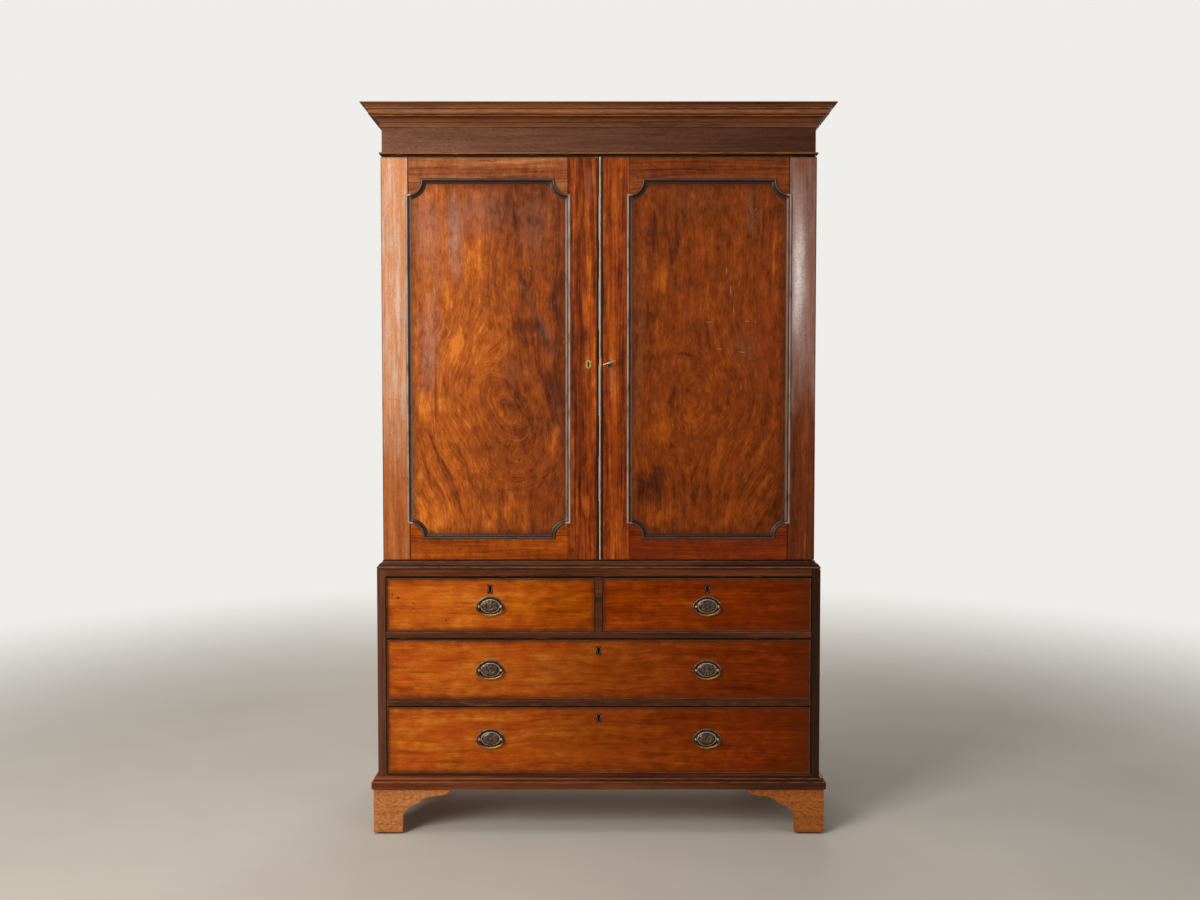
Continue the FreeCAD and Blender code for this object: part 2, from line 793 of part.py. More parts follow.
# ---------------------------------------------------------------- bracket feet
def bracket(name, way, turn, x, y, mitred):
    """One scrolled bracket board. Local X runs along it from the corner (way = 1 or -1),
    local Y into its thickness. Its foot stands on the glide."""
    ankle = s.ankle_width
    foot = s.glide_height
    top = s.foot_height
    wing = ankle + s.foot_wing
    scroll = [
        (0, foot),
        (ankle, foot),
        (ankle, foot + 34, 45),
        (ankle + 32, foot + 77.1),
        (ankle + 47, foot + 81.8, 42),
        (ankle + 76, foot + 99.6),
        (wing - 23, foot + 103.4, -28),
        (wing, top),
        (0, top),
    ]
    outline = []
    for corner in scroll:
        point = (way * dim(corner[0]), corner[1])
        outline.append(point + (way * dim(corner[2]),) if len(corner) == 3 else point)
    body = new_body(name)
    section = new_sketch(body, "XZ_Plane", f"{name}_scroll")
    draw(section, outline)
    pad(body, section, s.foot_thick, backwards=True)
    if mitred:
        waste = new_sketch(body, "XY_Plane", f"{name}_mitre")
        reach = s.foot_thick + MARGIN
        draw(waste, [(-MARGIN * way, -MARGIN), (way * reach, reach), (-MARGIN * way, reach)])
        pocket_through(body, waste)
    return place(body, ROTATION(Z_AXIS, turn), x, y)


def rear_support(name, side, x, y):
    """Plain board behind a rear foot, cut back at an angle."""
    body = prism(name, "XZ_Plane", [
        (0, s.glide_height),
        (-side * 90, s.glide_height),
        (-side * 150, s.foot_height),
        (0, s.foot_height),
    ], s.foot_thick)
    return place(body, ROTATION(), x, y)


def foot_glide(name, x, y):
    """Domed metal stud, flat where it stands."""
    body = new_body(name)
    section = new_sketch(body, "XZ_Plane", f"{name}_section")
    radius = s.glide_radius
    draw(section, [
        (0, 0),
        (radius - 3.5, 0, 4.5),
        (radius, 3.8),
        (radius, s.glide_height),
        (0, s.glide_height),
    ])
    turn = body.newObject("PartDesign::Revolution", f"{name}_turned")
    turn.Profile = section
    turn.ReferenceAxis = (section, ["V_Axis"])
    turn.Angle = 360
    return place(body, ROTATION(), x, y)


def make_feet():
    pieces = []
    glides = []
    face = s.base_reach - s.foot_inset
    x_foot = s.lower_half + face
    y_foot = y_front - face
    inner = x_foot - s.foot_thick
    block = 45
    z_block = (s.glide_height, s.foot_height)
    for side, name in ((-1, "left"), (1, "right")):
        pieces.append(bracket(f"foot_front_{name}", -side, 0, side * x_foot, y_foot, True))
        pieces.append(bracket(f"foot_side_{name}", side, side * 90, side * x_foot, y_foot, True))
        pieces.append(bracket(f"foot_rear_{name}", -side, side * 90, side * x_foot, y_back, False))
        pieces.append(rear_support(f"foot_support_{name}", side, side * inner, y_back))
        pieces.append(box(f"block_front_{name}", (side * inner, side * (inner - block)),
                          (y_foot + s.foot_thick, y_foot + s.foot_thick + block), z_block))
        y_rear = y_back - s.foot_thick
        pieces.append(box(f"block_rear_{name}", (side * inner, side * (inner - block)),
                          (y_rear, y_rear - block), z_block))
        for end, y in (("front", y_foot + s.foot_thick + 22), ("rear", y_rear - 22)):
            glides.append(foot_glide(f"glide_{end}_{name}", side * (x_foot - s.glide_in), y))
    node("bracket_feet", *pieces)
    node("foot_glides", *glides)


# ---------------------------------------------------------------- doors
FACE_OUT = ROTATION(X_AXIS, 90)


def turned(angle):
    """A piece drawn flat (local Z its height) stood up in the door's face and turned in it."""
    return ROTATION(Y_AXIS, angle).multiply(FACE_OUT)


def panel_moulding_profile():
    """Bolection: a torus over the frame, a quirk, then an ovolo and a hollow to the panel."""
    half = s.moulding_half
    panel = -s.panel_recess
    return [
        (half, 0),
        (half, 1.2),
        (half - 0.7, 1.2, -2.95),
        (half - 6.3, 1.2),
        (half - 6.3, 0.3),
        (half - 7.4, 0.3, -2.9),
        (half - 10, -2.4),
        (half - 10, -3.1, 5.6),
        (-half + 0.6, panel + 1),
        (-half, panel + 1),
        (-half, panel),
        (0, panel),
        (0, 0),
    ]


def corner_moulding(name):
    """Quarter ring round a corner at the local origin, with straight ends cut to the mitre."""
    half = s.moulding_half
    radius = s.corner_radius
    body = new_body(name)
    path = new_sketch(body, "XY_Plane", f"{name}_path")
    draw(path, [(radius, -half), (radius, 0, -radius), (0, radius), (-half, radius)],
         closed=False)
    section = new_sketch(body, "XZ_Plane", f"{name}_section", offset=half)
    ring = []
    for corner in panel_moulding_profile():
        point = (radius - corner[0], corner[1])
        ring.append(point + (-corner[2],) if len(corner) == 3 else point)
    draw(section, ring)
    sweep = body.newObject("PartDesign::AdditivePipe", f"{name}_sweep")
    sweep.Profile = section
    sweep.Spine = (path, ["Edge1", "Edge2", "Edge3"])
    waste = new_sketch(body, "XY_Plane", f"{name}_mitres")
    far = half + 2 * MARGIN
    draw(waste, [(radius - far, -far), (radius + far, far), (radius + far, -far)])
    draw(waste, [(-far, radius - far), (far, radius + far), (-far, radius + far)])
    pocket_through(body, waste)
    return body


def spandrel(name):
    """Flat corner piece inside the re-entrant moulding, level with the frame."""
    radius = s.corner_radius
    return prism(name, "XY_Plane", [(0, 0), (radius, 0, -radius), (0, radius)],
                 s.panel_recess, backwards=True)


def make_door_frame(name, side, x_in, x_out, z_in, z_out, rooms):
    """Stiles, tenoned rails and spandrels, grooved for the panel."""
    y_span = (y_door, y_door_back)
    y_panel = (y_door + s.panel_recess, y_door + s.panel_recess + s.panel_thick)
    panel = box(f"{name}_panel_board", (side * (x_in - s.panel_tongue),
                                        side * (x_out + s.panel_tongue)),
                y_panel, (z_in - s.panel_tongue, z_out + s.panel_tongue))
    rails = []
    tenons = []
    for end, low, high in (("bottom", z_door, z_in), ("top", z_out, z_door_top)):
        tenon = box(f"{name}_tenon_{end}",
                    (side * (x_in - s.tenon_length), side * (x_out + s.tenon_length)),
                    y_panel, (low + s.tenon_shoulder, high - s.tenon_shoulder))
        board = box(f"{name}_rail_{end}_board", (side * x_in, side * x_out), y_span, (low, high))
        rails.append(cut(f"{name}_rail_{end}", fuse(f"{name}_rail_{end}_whole", board, tenon),
                         panel))
        tenons.append(tenon)
    outer = box(f"{name}_outer_board", (side * x_out, side * s.door_half), y_span,
                (z_door, z_door_top))
    inner = box(f"{name}_inner_board", (side * s.meeting_gap, side * x_in), y_span,
                (z_door, z_door_top))
    hinge_rooms = []
    for number, z in enumerate(hinge_levels()):
        hinge_rooms += hinge_recess(f"{name}_hinge_{number}", side, z,
                                    (y_door_back - s.leaf_thick, y_door_back + 1))
    pieces = rails
    pieces.append(cut(f"{name}_outer_stile", outer, panel, *tenons, *hinge_rooms))
    pieces.append(cut(f"{name}_inner_stile", inner, panel, *tenons, *rooms))
    x_low, x_high = ordered((side * x_in, side * x_out))
    corners = ((x_low, z_in, 0), (x_low, z_out, 90), (x_high, z_out, 180), (x_high, z_in, -90))
    trim = []
    for number, (x, z, angle) in enumerate(corners):
        piece = spandrel(f"{name}_spandrel_{number}")
        pieces.append(place(piece, turned(angle), x, y_door, z))
        piece = corner_moulding(f"{name}_corner_{number}")
        trim.append(place(piece, turned(angle), x, y_door, z))
    node(f"{name}_frame", *pieces)
    node(f"{name}_panel", panel)

    profile = panel_moulding_profile()
    half = s.moulding_half
    half_across = (x_out - x_in) / 2 - s.corner_radius
    half_up = (z_out - z_in) / 2 - s.corner_radius
    x_mid = side * (x_in + x_out) / 2
    z_mid_panel = (z_in + z_out) / 2
    runs = (
        ("top", half_across, x_mid, z_out, 0),
        ("right", half_up, x_high, z_mid_panel, 90),
        ("bottom", half_across, x_mid, z_in, 180),
        ("left", half_up, x_low, z_mid_panel, -90),
    )
    for edge, half_run, x, z, angle in runs:
        piece = moulding(f"{name}_{edge}", profile, half_run, -half, half)
        trim.append(place(piece, turned(angle), x, y_door, z))
    node(f"{name}_moulding", *trim)


def keyhole(name, x, z, y, head_radius, half_slot, drop):
    """Round-headed slot through the wood; x and z give the middle of its head."""
    head = rod(f"{name}_head", "y", head_radius, x, y, z)
    slot = box(f"{name}_slot", (x - half_slot, x + half_slot), y, (z - drop, z))
    return fuse(name, head, slot)


def escutcheon_blank(name, x, z, y, thick):
    """Waisted brass inlay, before its keyhole is cut."""
    lobe = 6.9
    rise = 4.7
    waist = 5.2
    span = (y, y + thick)
    return fuse(name,
                rod(f"{name}_upper", "y", lobe, x, span, z + rise),
                rod(f"{name}_lower", "y", lobe, x, span, z - rise),
                box(f"{name}_waist", (x - waist, x + waist), span, (z - rise, z + rise)))


z_key = z_door + s.door_key_height
z_pin = z_key + 3
KEYHOLE_DROP = 10.5
LOCK_CASE = 52
LOCK_LOW = 14
LOCK_HIGH = 23
DOOR_BOLT_LOW = 10.5
DOOR_BOLT_HIGH = 19.5
DOOR_BOLT_Y = (15, 20)


def make_left_door():
    side = -1
    x_in = s.meeting_gap + s.inner_stile
    x_out = s.door_half - s.outer_stile
    z_in = z_door + s.door_rail
    z_out = z_door_top - s.door_rail
    y_bolt = y_door + s.door_thick / 2
    edge = -s.meeting_gap
    x_rod = -s.bolt_in
    length = s.bolt_length
    plates = []
    rooms = []
    for end, z_end, way in (("top", z_door_top, -1), ("bottom", z_door, 1)):
        z_far = z_end + way * length
        plate = box(f"bolt_plate_{end}", (edge, edge - 2.5), (y_bolt - 6, y_bolt + 6),
                    (z_end, z_far + way * 15))
        slot = box(f"bolt_slot_{end}", (edge + 1, edge - 3), (y_bolt - 2.3, y_bolt + 2.3),
                   (z_far - way * 22, z_far - way * 52))
        plates.append(cut(f"bolt_plate_{end}_cut", plate, slot))
        rooms.append(plate)
        rooms.append(rod(f"bolt_room_{end}", "z", s.bolt_radius + 0.4, x_rod, y_bolt,
                         (z_end - way, z_far + way * 4)))
        rooms.append(box(f"bolt_neck_room_{end}", (edge - 2.5, x_rod),
                         (y_bolt - 2.3, y_bolt + 2.3), (z_far - way * 22, z_far - way * 52)))
        bolt = rod(f"bolt_rod_{end}", "z", s.bolt_radius, x_rod, y_bolt,
                   (z_end - way * s.bolt_rise if way < 0 else z_end, z_far))
        knob = box(f"bolt_knob_{end}", (x_rod, edge - 0.3), (y_bolt - 2, y_bolt + 2),
                   (z_far - way * 24, z_far - way * 34))
        node(f"left_door_{end}_bolt", fuse(f"bolt_{end}", bolt, knob))

    strike_z = (z_pin + DOOR_BOLT_LOW - 8, z_pin + DOOR_BOLT_HIGH + 8)
    y_strike = (y_door + 12, y_door_back)
    strike = box("strike_plate", (edge, edge - 2), y_strike, strike_z)
    mouth = box("strike_mouth", (edge + 1, edge - 12), (y_door + 14.5, y_door + 20.5),
                (z_pin + DOOR_BOLT_LOW - 1, z_pin + DOOR_BOLT_HIGH + 1))
    plates.append(cut("strike", strike, mouth))
    rooms += [strike, mouth]
    x_key = -s.key_in
    blank = escutcheon_blank("left_escutcheon_blank", x_key, z_key, y_door, 1.5)
    hole = keyhole("left_keyhole", x_key, z_pin, (y_door - 1, y_door + 8), 3.2, 2.2,
                   KEYHOLE_DROP)
    rooms += [blank, hole]
    make_door_frame("left_door", side, x_in, x_out, z_in, z_out, rooms)
    node("left_door_edge_plates", *plates)
    node("left_door_escutcheon", cut("left_escutcheon", blank, hole))
    make_door_leaves("left_door", side)


def make_door_leaves(name, side):
    leaves = []
    for number, z in enumerate(hinge_levels()):
        leaves.append(hinge_leaf(f"{name}_leaf_{number}", side, z,
                                 (y_door_back - s.leaf_thick, y_door_back), (1,),
                                 s.pin_radius + s.pin_clear))
    node(f"{name}_hinge_leaves", *leaves)


def make_right_door():
    side = 1
    x_in = s.meeting_gap + s.inner_stile
    x_out = s.door_half - s.outer_stile
    z_in = z_door + s.door_rail
    z_out = z_door_top - s.door_rail
    edge = s.meeting_gap
    y_lock = y_door + 10
    y_bolt, y_bolt_back = (y_door + depth for depth in DOOR_BOLT_Y)

    # box lock let into the back of the meeting stile, with its plate in the door's edge
    case = box("lock_case", (edge, edge + LOCK_CASE), (y_lock, y_door_back),
               (z_pin - LOCK_LOW, z_pin + LOCK_HIGH))
    selvedge = box("lock_selvedge", (edge, edge + 2), (y_lock, y_door_back),
                   (z_pin - LOCK_LOW - 8, z_pin + LOCK_HIGH + 8))
    solid = fuse("lock_solid", case, selvedge)
    hollow = box("lock_hollow", (edge + 2, edge + LOCK_CASE - 1.5),
                 (y_lock + 1.5, y_door_back - 1.5),
                 (z_pin - LOCK_LOW + 1.5, z_pin + LOCK_HIGH - 1.5))
    slot = box("lock_slot", (edge - 1, edge + 3), (y_bolt - 0.3, y_bolt_back + 0.3),
               (z_pin + DOOR_BOLT_LOW - 0.3, z_pin + DOOR_BOLT_HIGH + 0.3))
    hole = keyhole("right_keyhole", s.key_in, z_pin, (y_door - 1, y_lock + 2), 3.2, 2.2,
                   KEYHOLE_DROP)
    blank = escutcheon_blank("right_escutcheon_blank", s.key_in, z_key, y_door, 1.5)
    make_door_frame("right_door", side, x_in, x_out, z_in, z_out, [solid, blank, hole])
    node("right_door_escutcheon", cut("right_escutcheon", blank, hole))
    node("right_door_lock", cut("right_lock", solid, hollow, slot, hole))
    make_door_leaves("right_door", side)

    bolt = box("lock_bolt", (edge + 0.2, edge + 40), (y_bolt, y_bolt_back),
               (z_pin + DOOR_BOLT_LOW, z_pin + DOOR_BOLT_HIGH))
    talon = box("lock_talon", (s.key_in - 4, s.key_in + 4), (y_bolt - 1, y_bolt_back + 1),
                (z_pin + DOOR_BOLT_LOW - 1, z_pin + DOOR_BOLT_LOW + 3))
    node("right_door_lock_bolt", cut("right_lock_bolt", bolt, talon))

    # astragal bead on the meeting edge
    width = s.astragal_width
    shoulder = 0.5
    rise = s.astragal_rise - shoulder
    round_radius = (width * width / 4 + rise * rise) / (2 * rise)
    bead = prism("astragal", "XY_Plane", [
        (0, 0),
        (0, -shoulder, -round_radius),
        (width, -shoulder),
        (width, 0),
    ], s.door_height)
    node("right_door_astragal", place(bead, ROTATION(), edge, y_door, z_door))


KEY_TILT = 18.4
BOW_THICK = 3.4
BOW_DEEP = 12
BOW_WEB = 3.6
KEY_STEM = 13


def make_key():
    """Key standing in the right door's lock; drawn about its own pin, the bow flat."""
    bow = new_body("key_bow")
    outer = new_sketch(bow, "XY_Plane", "key_bow_outline")
    middle = -(KEY_STEM + BOW_DEEP)
    draw(outer, oval(s.bow_half, dim(BOW_DEEP), dim(8), dim(0), dim(middle)))
    draw(outer, oval(s.bow_half - BOW_WEB, dim(BOW_DEEP - BOW_WEB), dim(5.5), dim(0),
                     dim(middle)))
    ring = pad(bow, outer, BOW_THICK, symmetric=True)
    doc.recompute()
    rounding = bow.newObject("PartDesign::Fillet", "key_bow_rounding")
    rounding.Base = (ring, flat_edges(ring.Shape, BOW_THICK / 2))
    bind(rounding, "Radius", 1.3)
    stem = rod("key_stem", "y", s.shank_radius, 0, (-KEY_STEM - 1.5, 19), 0)
    collar = rod("key_collar", "y", s.shank_radius + 1.5, 0, (-KEY_STEM + 1, -KEY_STEM + 4), 0)
    bit = box("key_bit", (-s.bit_radius, -1), (12.5, 18), (-1.1, 1.1))
    ward = box("key_ward", (-s.bit_radius - 1, -s.bit_radius + 3), (14.7, 15.8), (-2, 2))
    key = fuse("key_metal", bow, stem, collar, cut("key_bit_cut", bit, ward))
    place(key, ROTATION(Y_AXIS, -KEY_TILT), s.key_in, y_door, z_pin)
    node("right_door_key", key)


def flat_edges(shape, height):
    """Names of the edges that lie in the two faces at plus and minus this height."""
    names = []
    for number, edge in enumerate(shape.Edges, start=1):
        if all(abs(abs(vertex.Z) - height) < 1e-6 for vertex in edge.Vertexes):
            names.append(f"Edge{number}")
    return names


# ---------------------------------------------------------------- drawers
PIN_HALF = (7, 5)
TOP_CLEAR = 1.2
LOCK_DEEP = 54


def dovetails(y_shoulder, y_end, z_low_end, z_high_end, count):
    """Corners of one dovetailed end of a drawer side, from the bottom up."""
    pitch = (z_high_end - z_low_end) / count
    at_shoulder, at_end = PIN_HALF
    corners = [(y_shoulder, z_low_end)]
    for number in range(count):
        low = z_low_end + pitch * number
        corners += [
            (y_shoulder, low + at_shoulder),
            (y_end, low + at_end),
            (y_end, low + pitch - at_end),
            (y_shoulder, low + pitch - at_shoulder),
        ]
    corners.append((y_shoulder, z_high_end))
    return corners


def cock_beads(name, x_low, x_high, z_low_end, z_high_end):
    """Round-nosed beads let into the four edges of a drawer front, mitred."""
    thick = s.cock_thick
    shoulder = s.cock_rise - thick / 2
    profile = [
        (-thick, -s.cock_depth),
        (0, -s.cock_depth),
        (0, shoulder, -(thick / 2 + 0.01)),
        (-thick, shoulder),
    ]
    half_across = (x_high - x_low) / 2
    half_up = (z_high_end - z_low_end) / 2
    x_mid = (x_high + x_low) / 2
    z_mid_front = (z_high_end + z_low_end) / 2
    runs = (
        ("top", half_across, x_mid, z_high_end, 0),
        ("right", half_up, x_high, z_mid_front, 90),
        ("bottom", half_across, x_mid, z_low_end, 180),
        ("left", half_up, x_low, z_mid_front, -90),
    )
    beads = []
    for edge, half_run, x, z, angle in runs:
        piece = moulding(f"{name}_cock_{edge}", profile, half_run, -thick, 0)
        beads.append(place(piece, turned(angle), x, y_front, z))
    return beads


def draw_circle(sketch, x, y, radius):
    x, y, radius = dim(x), dim(y), dim(radius)
    edge = sketch.addGeometry(Part.Circle(VECTOR(x.value, y.value, 0), Z_AXIS, radius.value))
    for kind, size in (("DistanceX", x), ("DistanceY", y)):
        number = sketch.addConstraint(Sketcher.Constraint(kind, -1, 1, edge, 3, size.value))
        sketch.setExpression(f"Constraints[{number}]", size.text)
    number = sketch.addConstraint(Sketcher.Constraint("Radius", edge, radius.value))
    sketch.setExpression(f"Constraints[{number}]", radius.text)


PLATE_THICK = 1.2
FIELD_HALF = 24.5
FIELD_RISE = 18.5


def handle_plate(name, x, z):
    """Oval brass plate, nearly pointed at its ends, with a domed field and two post holes."""
    body = new_body(name)
    rim = new_sketch(body, "XY_Plane", f"{name}_rim")
    draw(rim, oval(s.plate_half, s.plate_rise, s.plate_tip))
    pad(body, rim, PLATE_THICK)
    levels = ((0, PLATE_THICK), (2.5, 2.9), (12, 4.1))
    fields = []
    for number, (inset, height) in enumerate(levels):
        field = new_sketch(body, "XY_Plane", f"{name}_field_{number}", offset=height)
        draw(field, oval(dim(FIELD_HALF - inset), dim(FIELD_RISE - inset),
                         dim((FIELD_RISE - inset) * 0.75)))
        fields.append(field)
    dome = body.newObject("PartDesign::AdditiveLoft", f"{name}_dome")
    dome.Profile = fields[0]
    dome.Sections = fields[1:]
    holes = new_sketch(body, "XY_Plane", f"{name}_holes")
    draw_circle(holes, s.post_half, 0, 2.1)
    draw_circle(holes, -s.post_half, 0, 2.1)
    pocket_through(body, holes)
    return place(body, FACE_OUT, x, y_front, z)


PIN_RADIUS = 1.3
HEAD_RADIUS = 4.5
HEAD_FLAT = 2.6


def bail_post(name, x, z, side):
    """Post through the drawer front: a drilled head, a collar and a nut inside."""
    y_axis_bail = y_front - s.bail_out
    ball = doc.addObject("Part::Sphere", f"{name}_ball")
    bind(ball, "Radius", HEAD_RADIUS)
    place(ball, ROTATION(Z_AXIS, -45), x, y_axis_bail, z)
    flat = box(f"{name}_flat", (x + side * HEAD_FLAT, x + side * 6),
               (y_axis_bail - 6, y_axis_bail + 6), (z - 6, z + 6))
    hole = rod(f"{name}_hole", "x", PIN_RADIUS + 0.08, (x - 6, x + 6), y_axis_bail, z)
    y_plate = y_front - PLATE_THICK
    metal = fuse(f"{name}_metal",
                 cut(f"{name}_head", ball, flat),
                 rod(f"{name}_collar", "y", 4.2, x, (y_plate - 1.4, y_plate), z),
                 rod(f"{name}_shank", "y", 2, x,
                     (y_axis_bail + 3, y_front + s.front_thick + 5), z),
                 rod(f"{name}_nut", "y", 5, x,
                     (y_front + s.front_thick, y_front + s.front_thick + 3), z))
    return cut(name, metal, hole)


BAIL_CORNER = 3.5
BAIL_END = 13


def make_bail(name, x, z):
    """Swinging handle: a rod bent to a flattened bow, with pins turned in at its ends."""
    half = s.bail_half - s.bail_radius
    run = half - BAIL_END
    deep = s.bail_drop - BAIL_CORNER
    sweep_radius = (run * run + deep * deep - BAIL_END * BAIL_END) / (2 * (deep - BAIL_END))
    reach = sweep_radius - BAIL_END
    u = run * sweep_radius / reach
    v = (sweep_radius - deep) * sweep_radius / reach - sweep_radius + s.bail_drop
    body = new_body(f"{name}_rod")
    path = new_sketch(body, "XZ_Plane", f"{name}_path")
    draw(path, [
        (-half + BAIL_CORNER, 0, -BAIL_CORNER),
        (-half, -BAIL_CORNER, -BAIL_END),
        (-u, -v, -sweep_radius),
        (u, -v, -BAIL_END),
        (half, -BAIL_CORNER, -BAIL_CORNER),
        (half - BAIL_CORNER, 0),
    ], closed=False)
    section = new_sketch(body, "YZ_Plane", f"{name}_section", offset=-half + BAIL_CORNER)
    draw_circle(section, 0, 0, s.bail_radius)
    sweep = body.newObject("PartDesign::AdditivePipe", f"{name}_sweep")
    sweep.Profile = section
    sweep.Spine = (path, [f"Edge{number}" for number in range(1, 6)])
    pieces = [body]
    for side, hand in ((-1, "left"), (1, "right")):
        pieces.append(rod(f"{name}_pin_{hand}", "x", PIN_RADIUS,
                          (side * (s.post_half - 3.5), side * (half - BAIL_CORNER + 0.2)), 0, 0))
    whole = fuse(f"{name}_metal", *pieces)
    node(name, place(whole, ROTATION(), x, y_front - s.bail_out, z))


def drawer_lock(name, x, z_top):
    """Box lock behind a drawer front; its bolt slides up through the front's top edge."""
    y_case = y_front + s.cock_depth + 0.5
    y_inside = y_front + s.front_thick
    case = box(f"{name}_case", (x - LOCK_HALF, x + LOCK_HALF), (y_case, y_inside),
               (z_top - LOCK_DEEP, z_top))
    selvedge = box(f"{name}_selvedge", (x - LOCK_HALF - 8, x + LOCK_HALF + 8),
                   (y_case + 2, y_inside), (z_top - 2, z_top))
    solid = fuse(f"{name}_solid", case, selvedge)
    hollow = box(f"{name}_hollow", (x - LOCK_HALF + 1.5, x + LOCK_HALF - 1.5),
                 (y_case + 1.2, y_inside - 1.2), (z_top - LOCK_DEEP + 1.5, z_top - 2))
    y_bolt = (y_front + BOLT_Y, y_front + BOLT_Y + BOLT_THICK)
    slot = box(f"{name}_slot", (x - BOLT_HALF - 0.3, x + BOLT_HALF + 0.3),
               (y_bolt[0] - 0.3, y_bolt[1] + 0.3), (z_top - 3, z_top + 1))
    bolt = box(f"{name}_tongue", (x - BOLT_HALF, x + BOLT_HALF), y_bolt, (z_top - 24, z_top - 0.2))
    return solid, (hollow, slot), bolt


def make_drawer(name, x_low_end, x_high_end, z_open, height, plate_drop, tails, lock_at,
                plates):
    """Dovetailed drawer with a cock-beaded front, plates, lock and swinging handles."""
    x_low, x_high = dim(x_low_end) + s.side_clear, dim(x_high_end) - s.side_clear
    z_low_end = z_open + RUN_CLEAR
    z_top = z_open + height - TOP_CLEAR
    z_side = z_top - 3
    y_inside = y_front + s.front_thick
    y_end = y_front + s.drawer_depth
    z_floor = z_low_end + s.bottom_lift
    z_floor_top = z_floor + s.bottom_thick
    wall = s.drawer_wall

    bottom = box(f"{name}_bottom", (x_low + wall / 2, x_high - wall / 2),
                 (y_inside - 6, y_end), (z_floor, z_floor_top))
    outline = dovetails(y_inside, y_front + s.lap, z_low_end, z_side, tails)
    rear = dovetails(y_end - wall, y_end, z_floor_top, z_side, tails)
    outline += reversed([(y_end, z_low_end), (y_end, z_floor_top)] + rear)
    raw_sides = []
    sides = []
    for hand, x in (("left", x_low), ("right", x_high - wall)):
        side = prism(f"{name}_{hand}", "YZ_Plane", outline, wall)
        place(side, ROTATION(), x)
        raw_sides.append(side)
        sides.append(cut(f"{name}_{hand}_side", side, bottom))
    back = box(f"{name}_back", (x_low, x_high), (y_end - wall, y_end), (z_floor_top, z_side))
    node(f"{name}_box", *sides, cut(f"{name}_back_board", back, *raw_sides), bottom)

    beads = cock_beads(name, x_low, x_high, z_low_end, z_top)
    board = box(f"{name}_board", (x_low, x_high), (y_front, y_inside), (z_low_end, z_top))
    solid, hollows, bolt = drawer_lock(f"{name}_lock", dim(lock_at), z_top)
    z_keyhole = z_open + height - s.key_drop
    blank = drawer_escutcheon(f"{name}_escutcheon", dim(lock_at), z_keyhole)
    hole = keyhole(f"{name}_keyhole", dim(lock_at), z_keyhole + 4.5,
                   (y_front - 2, y_front + s.cock_depth + 2.5), 3, 1.9, 13)
    z_plate = z_open + height - plate_drop
    brasses = [cut(f"{name}_lock_body", solid, *hollows, hole),
               cut(f"{name}_escutcheon_plate", blank, hole)]
    holes = []
    for number, x in enumerate(plates):
        brasses.append(handle_plate(f"{name}_plate_{number}", x, z_plate))
        for side in (-1, 1):
            x_post = dim(x) + side * s.post_half
            post = f"{name}_post_{number}_{'left' if side < 0 else 'right'}"
            brasses.append(bail_post(post, x_post, z_plate, side))
            holes.append(rod(f"{post}_room", "y", 2.1, x_post,
                             (y_front - 1, y_inside + 1), z_plate))
    front = cut(f"{name}_front_board", board, *beads, *raw_sides, bottom, solid, blank, hole,
                *holes)
    node(f"{name}_front", front, *beads)
    node(f"{name}_brasses", *brasses)
    node(f"{name}_lock_bolt", bolt)
    return z_plate


def drawer_escutcheon(name, x, z):
    """Keyhole-shaped brass inlay, before its keyhole is cut."""
    span = (y_front - 0.4, y_front + 1.2)
    return fuse(name,
                rod(f"{name}_head", "y", 6.7, x, span, z + 4.5),
                box(f"{name}_leg", (x - 4.6, x + 4.6), span, (z - 6.6, z + 4.5)),
                rod(f"{name}_toe", "y", 4.6, x, span, z - 6.6))


def make_drawers():
    half_divider = s.divider_thick / 2
    x = s.brass_x
    z = make_drawer("top_left_drawer", -x_open, -half_divider, z_short, s.top_opening,
                    s.short_plate_drop, 3, -x, [-x])
    make_bail("top_left_bail", -x, z)
    z = make_drawer("top_right_drawer", half_divider, x_open, z_short, s.top_opening,
                    s.short_plate_drop, 3, x, [x])
    make_bail("top_right_bail", x, z)
    z = make_drawer("middle_drawer", -x_open, x_open, z_mid, s.mid_opening,
                    s.mid_plate_drop, 3, 0, [-x, x])
    make_bail("middle_left_bail", -x, z)
    make_bail("middle_right_bail", x, z)
    z = make_drawer("bottom_drawer", -x_open, x_open, z_low, s.low_opening,
                    s.low_plate_drop, 4, 0, [-x, x])
    make_bail("bottom_left_bail", -x, z)
    make_bail("bottom_right_bail", x, z)


def build_all():
    make_cornice()
    make_upper_case()
    make_tray_runners()
    make_lower_case()
    make_waist_and_base()
    make_feet()
    make_left_door()
    make_right_door()
    make_key()
    make_drawers()
    for number in range(TRAY_COUNT):
        make_tray(number)


def check_and_write():
    doc.recompute()
    failed = [item.Name for item in doc.Objects
              if "Invalid" in item.State or "Error" in item.State]
    if failed:
        raise RuntimeError("failed objects: " + ", ".join(failed))
    os.makedirs("parts", exist_ok=True)
    for group in nodes:
        shape = group.Shape
        if shape.isNull() or not shape.isValid() or not shape.Solids:
            raise RuntimeError("bad shape: " + group.Label)
    for group in nodes:
        group.Shape.exportStep(f"parts/{group.Label}.step")
    print(len(nodes), "nodes written")


build_all()
check_and_write()
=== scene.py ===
import math

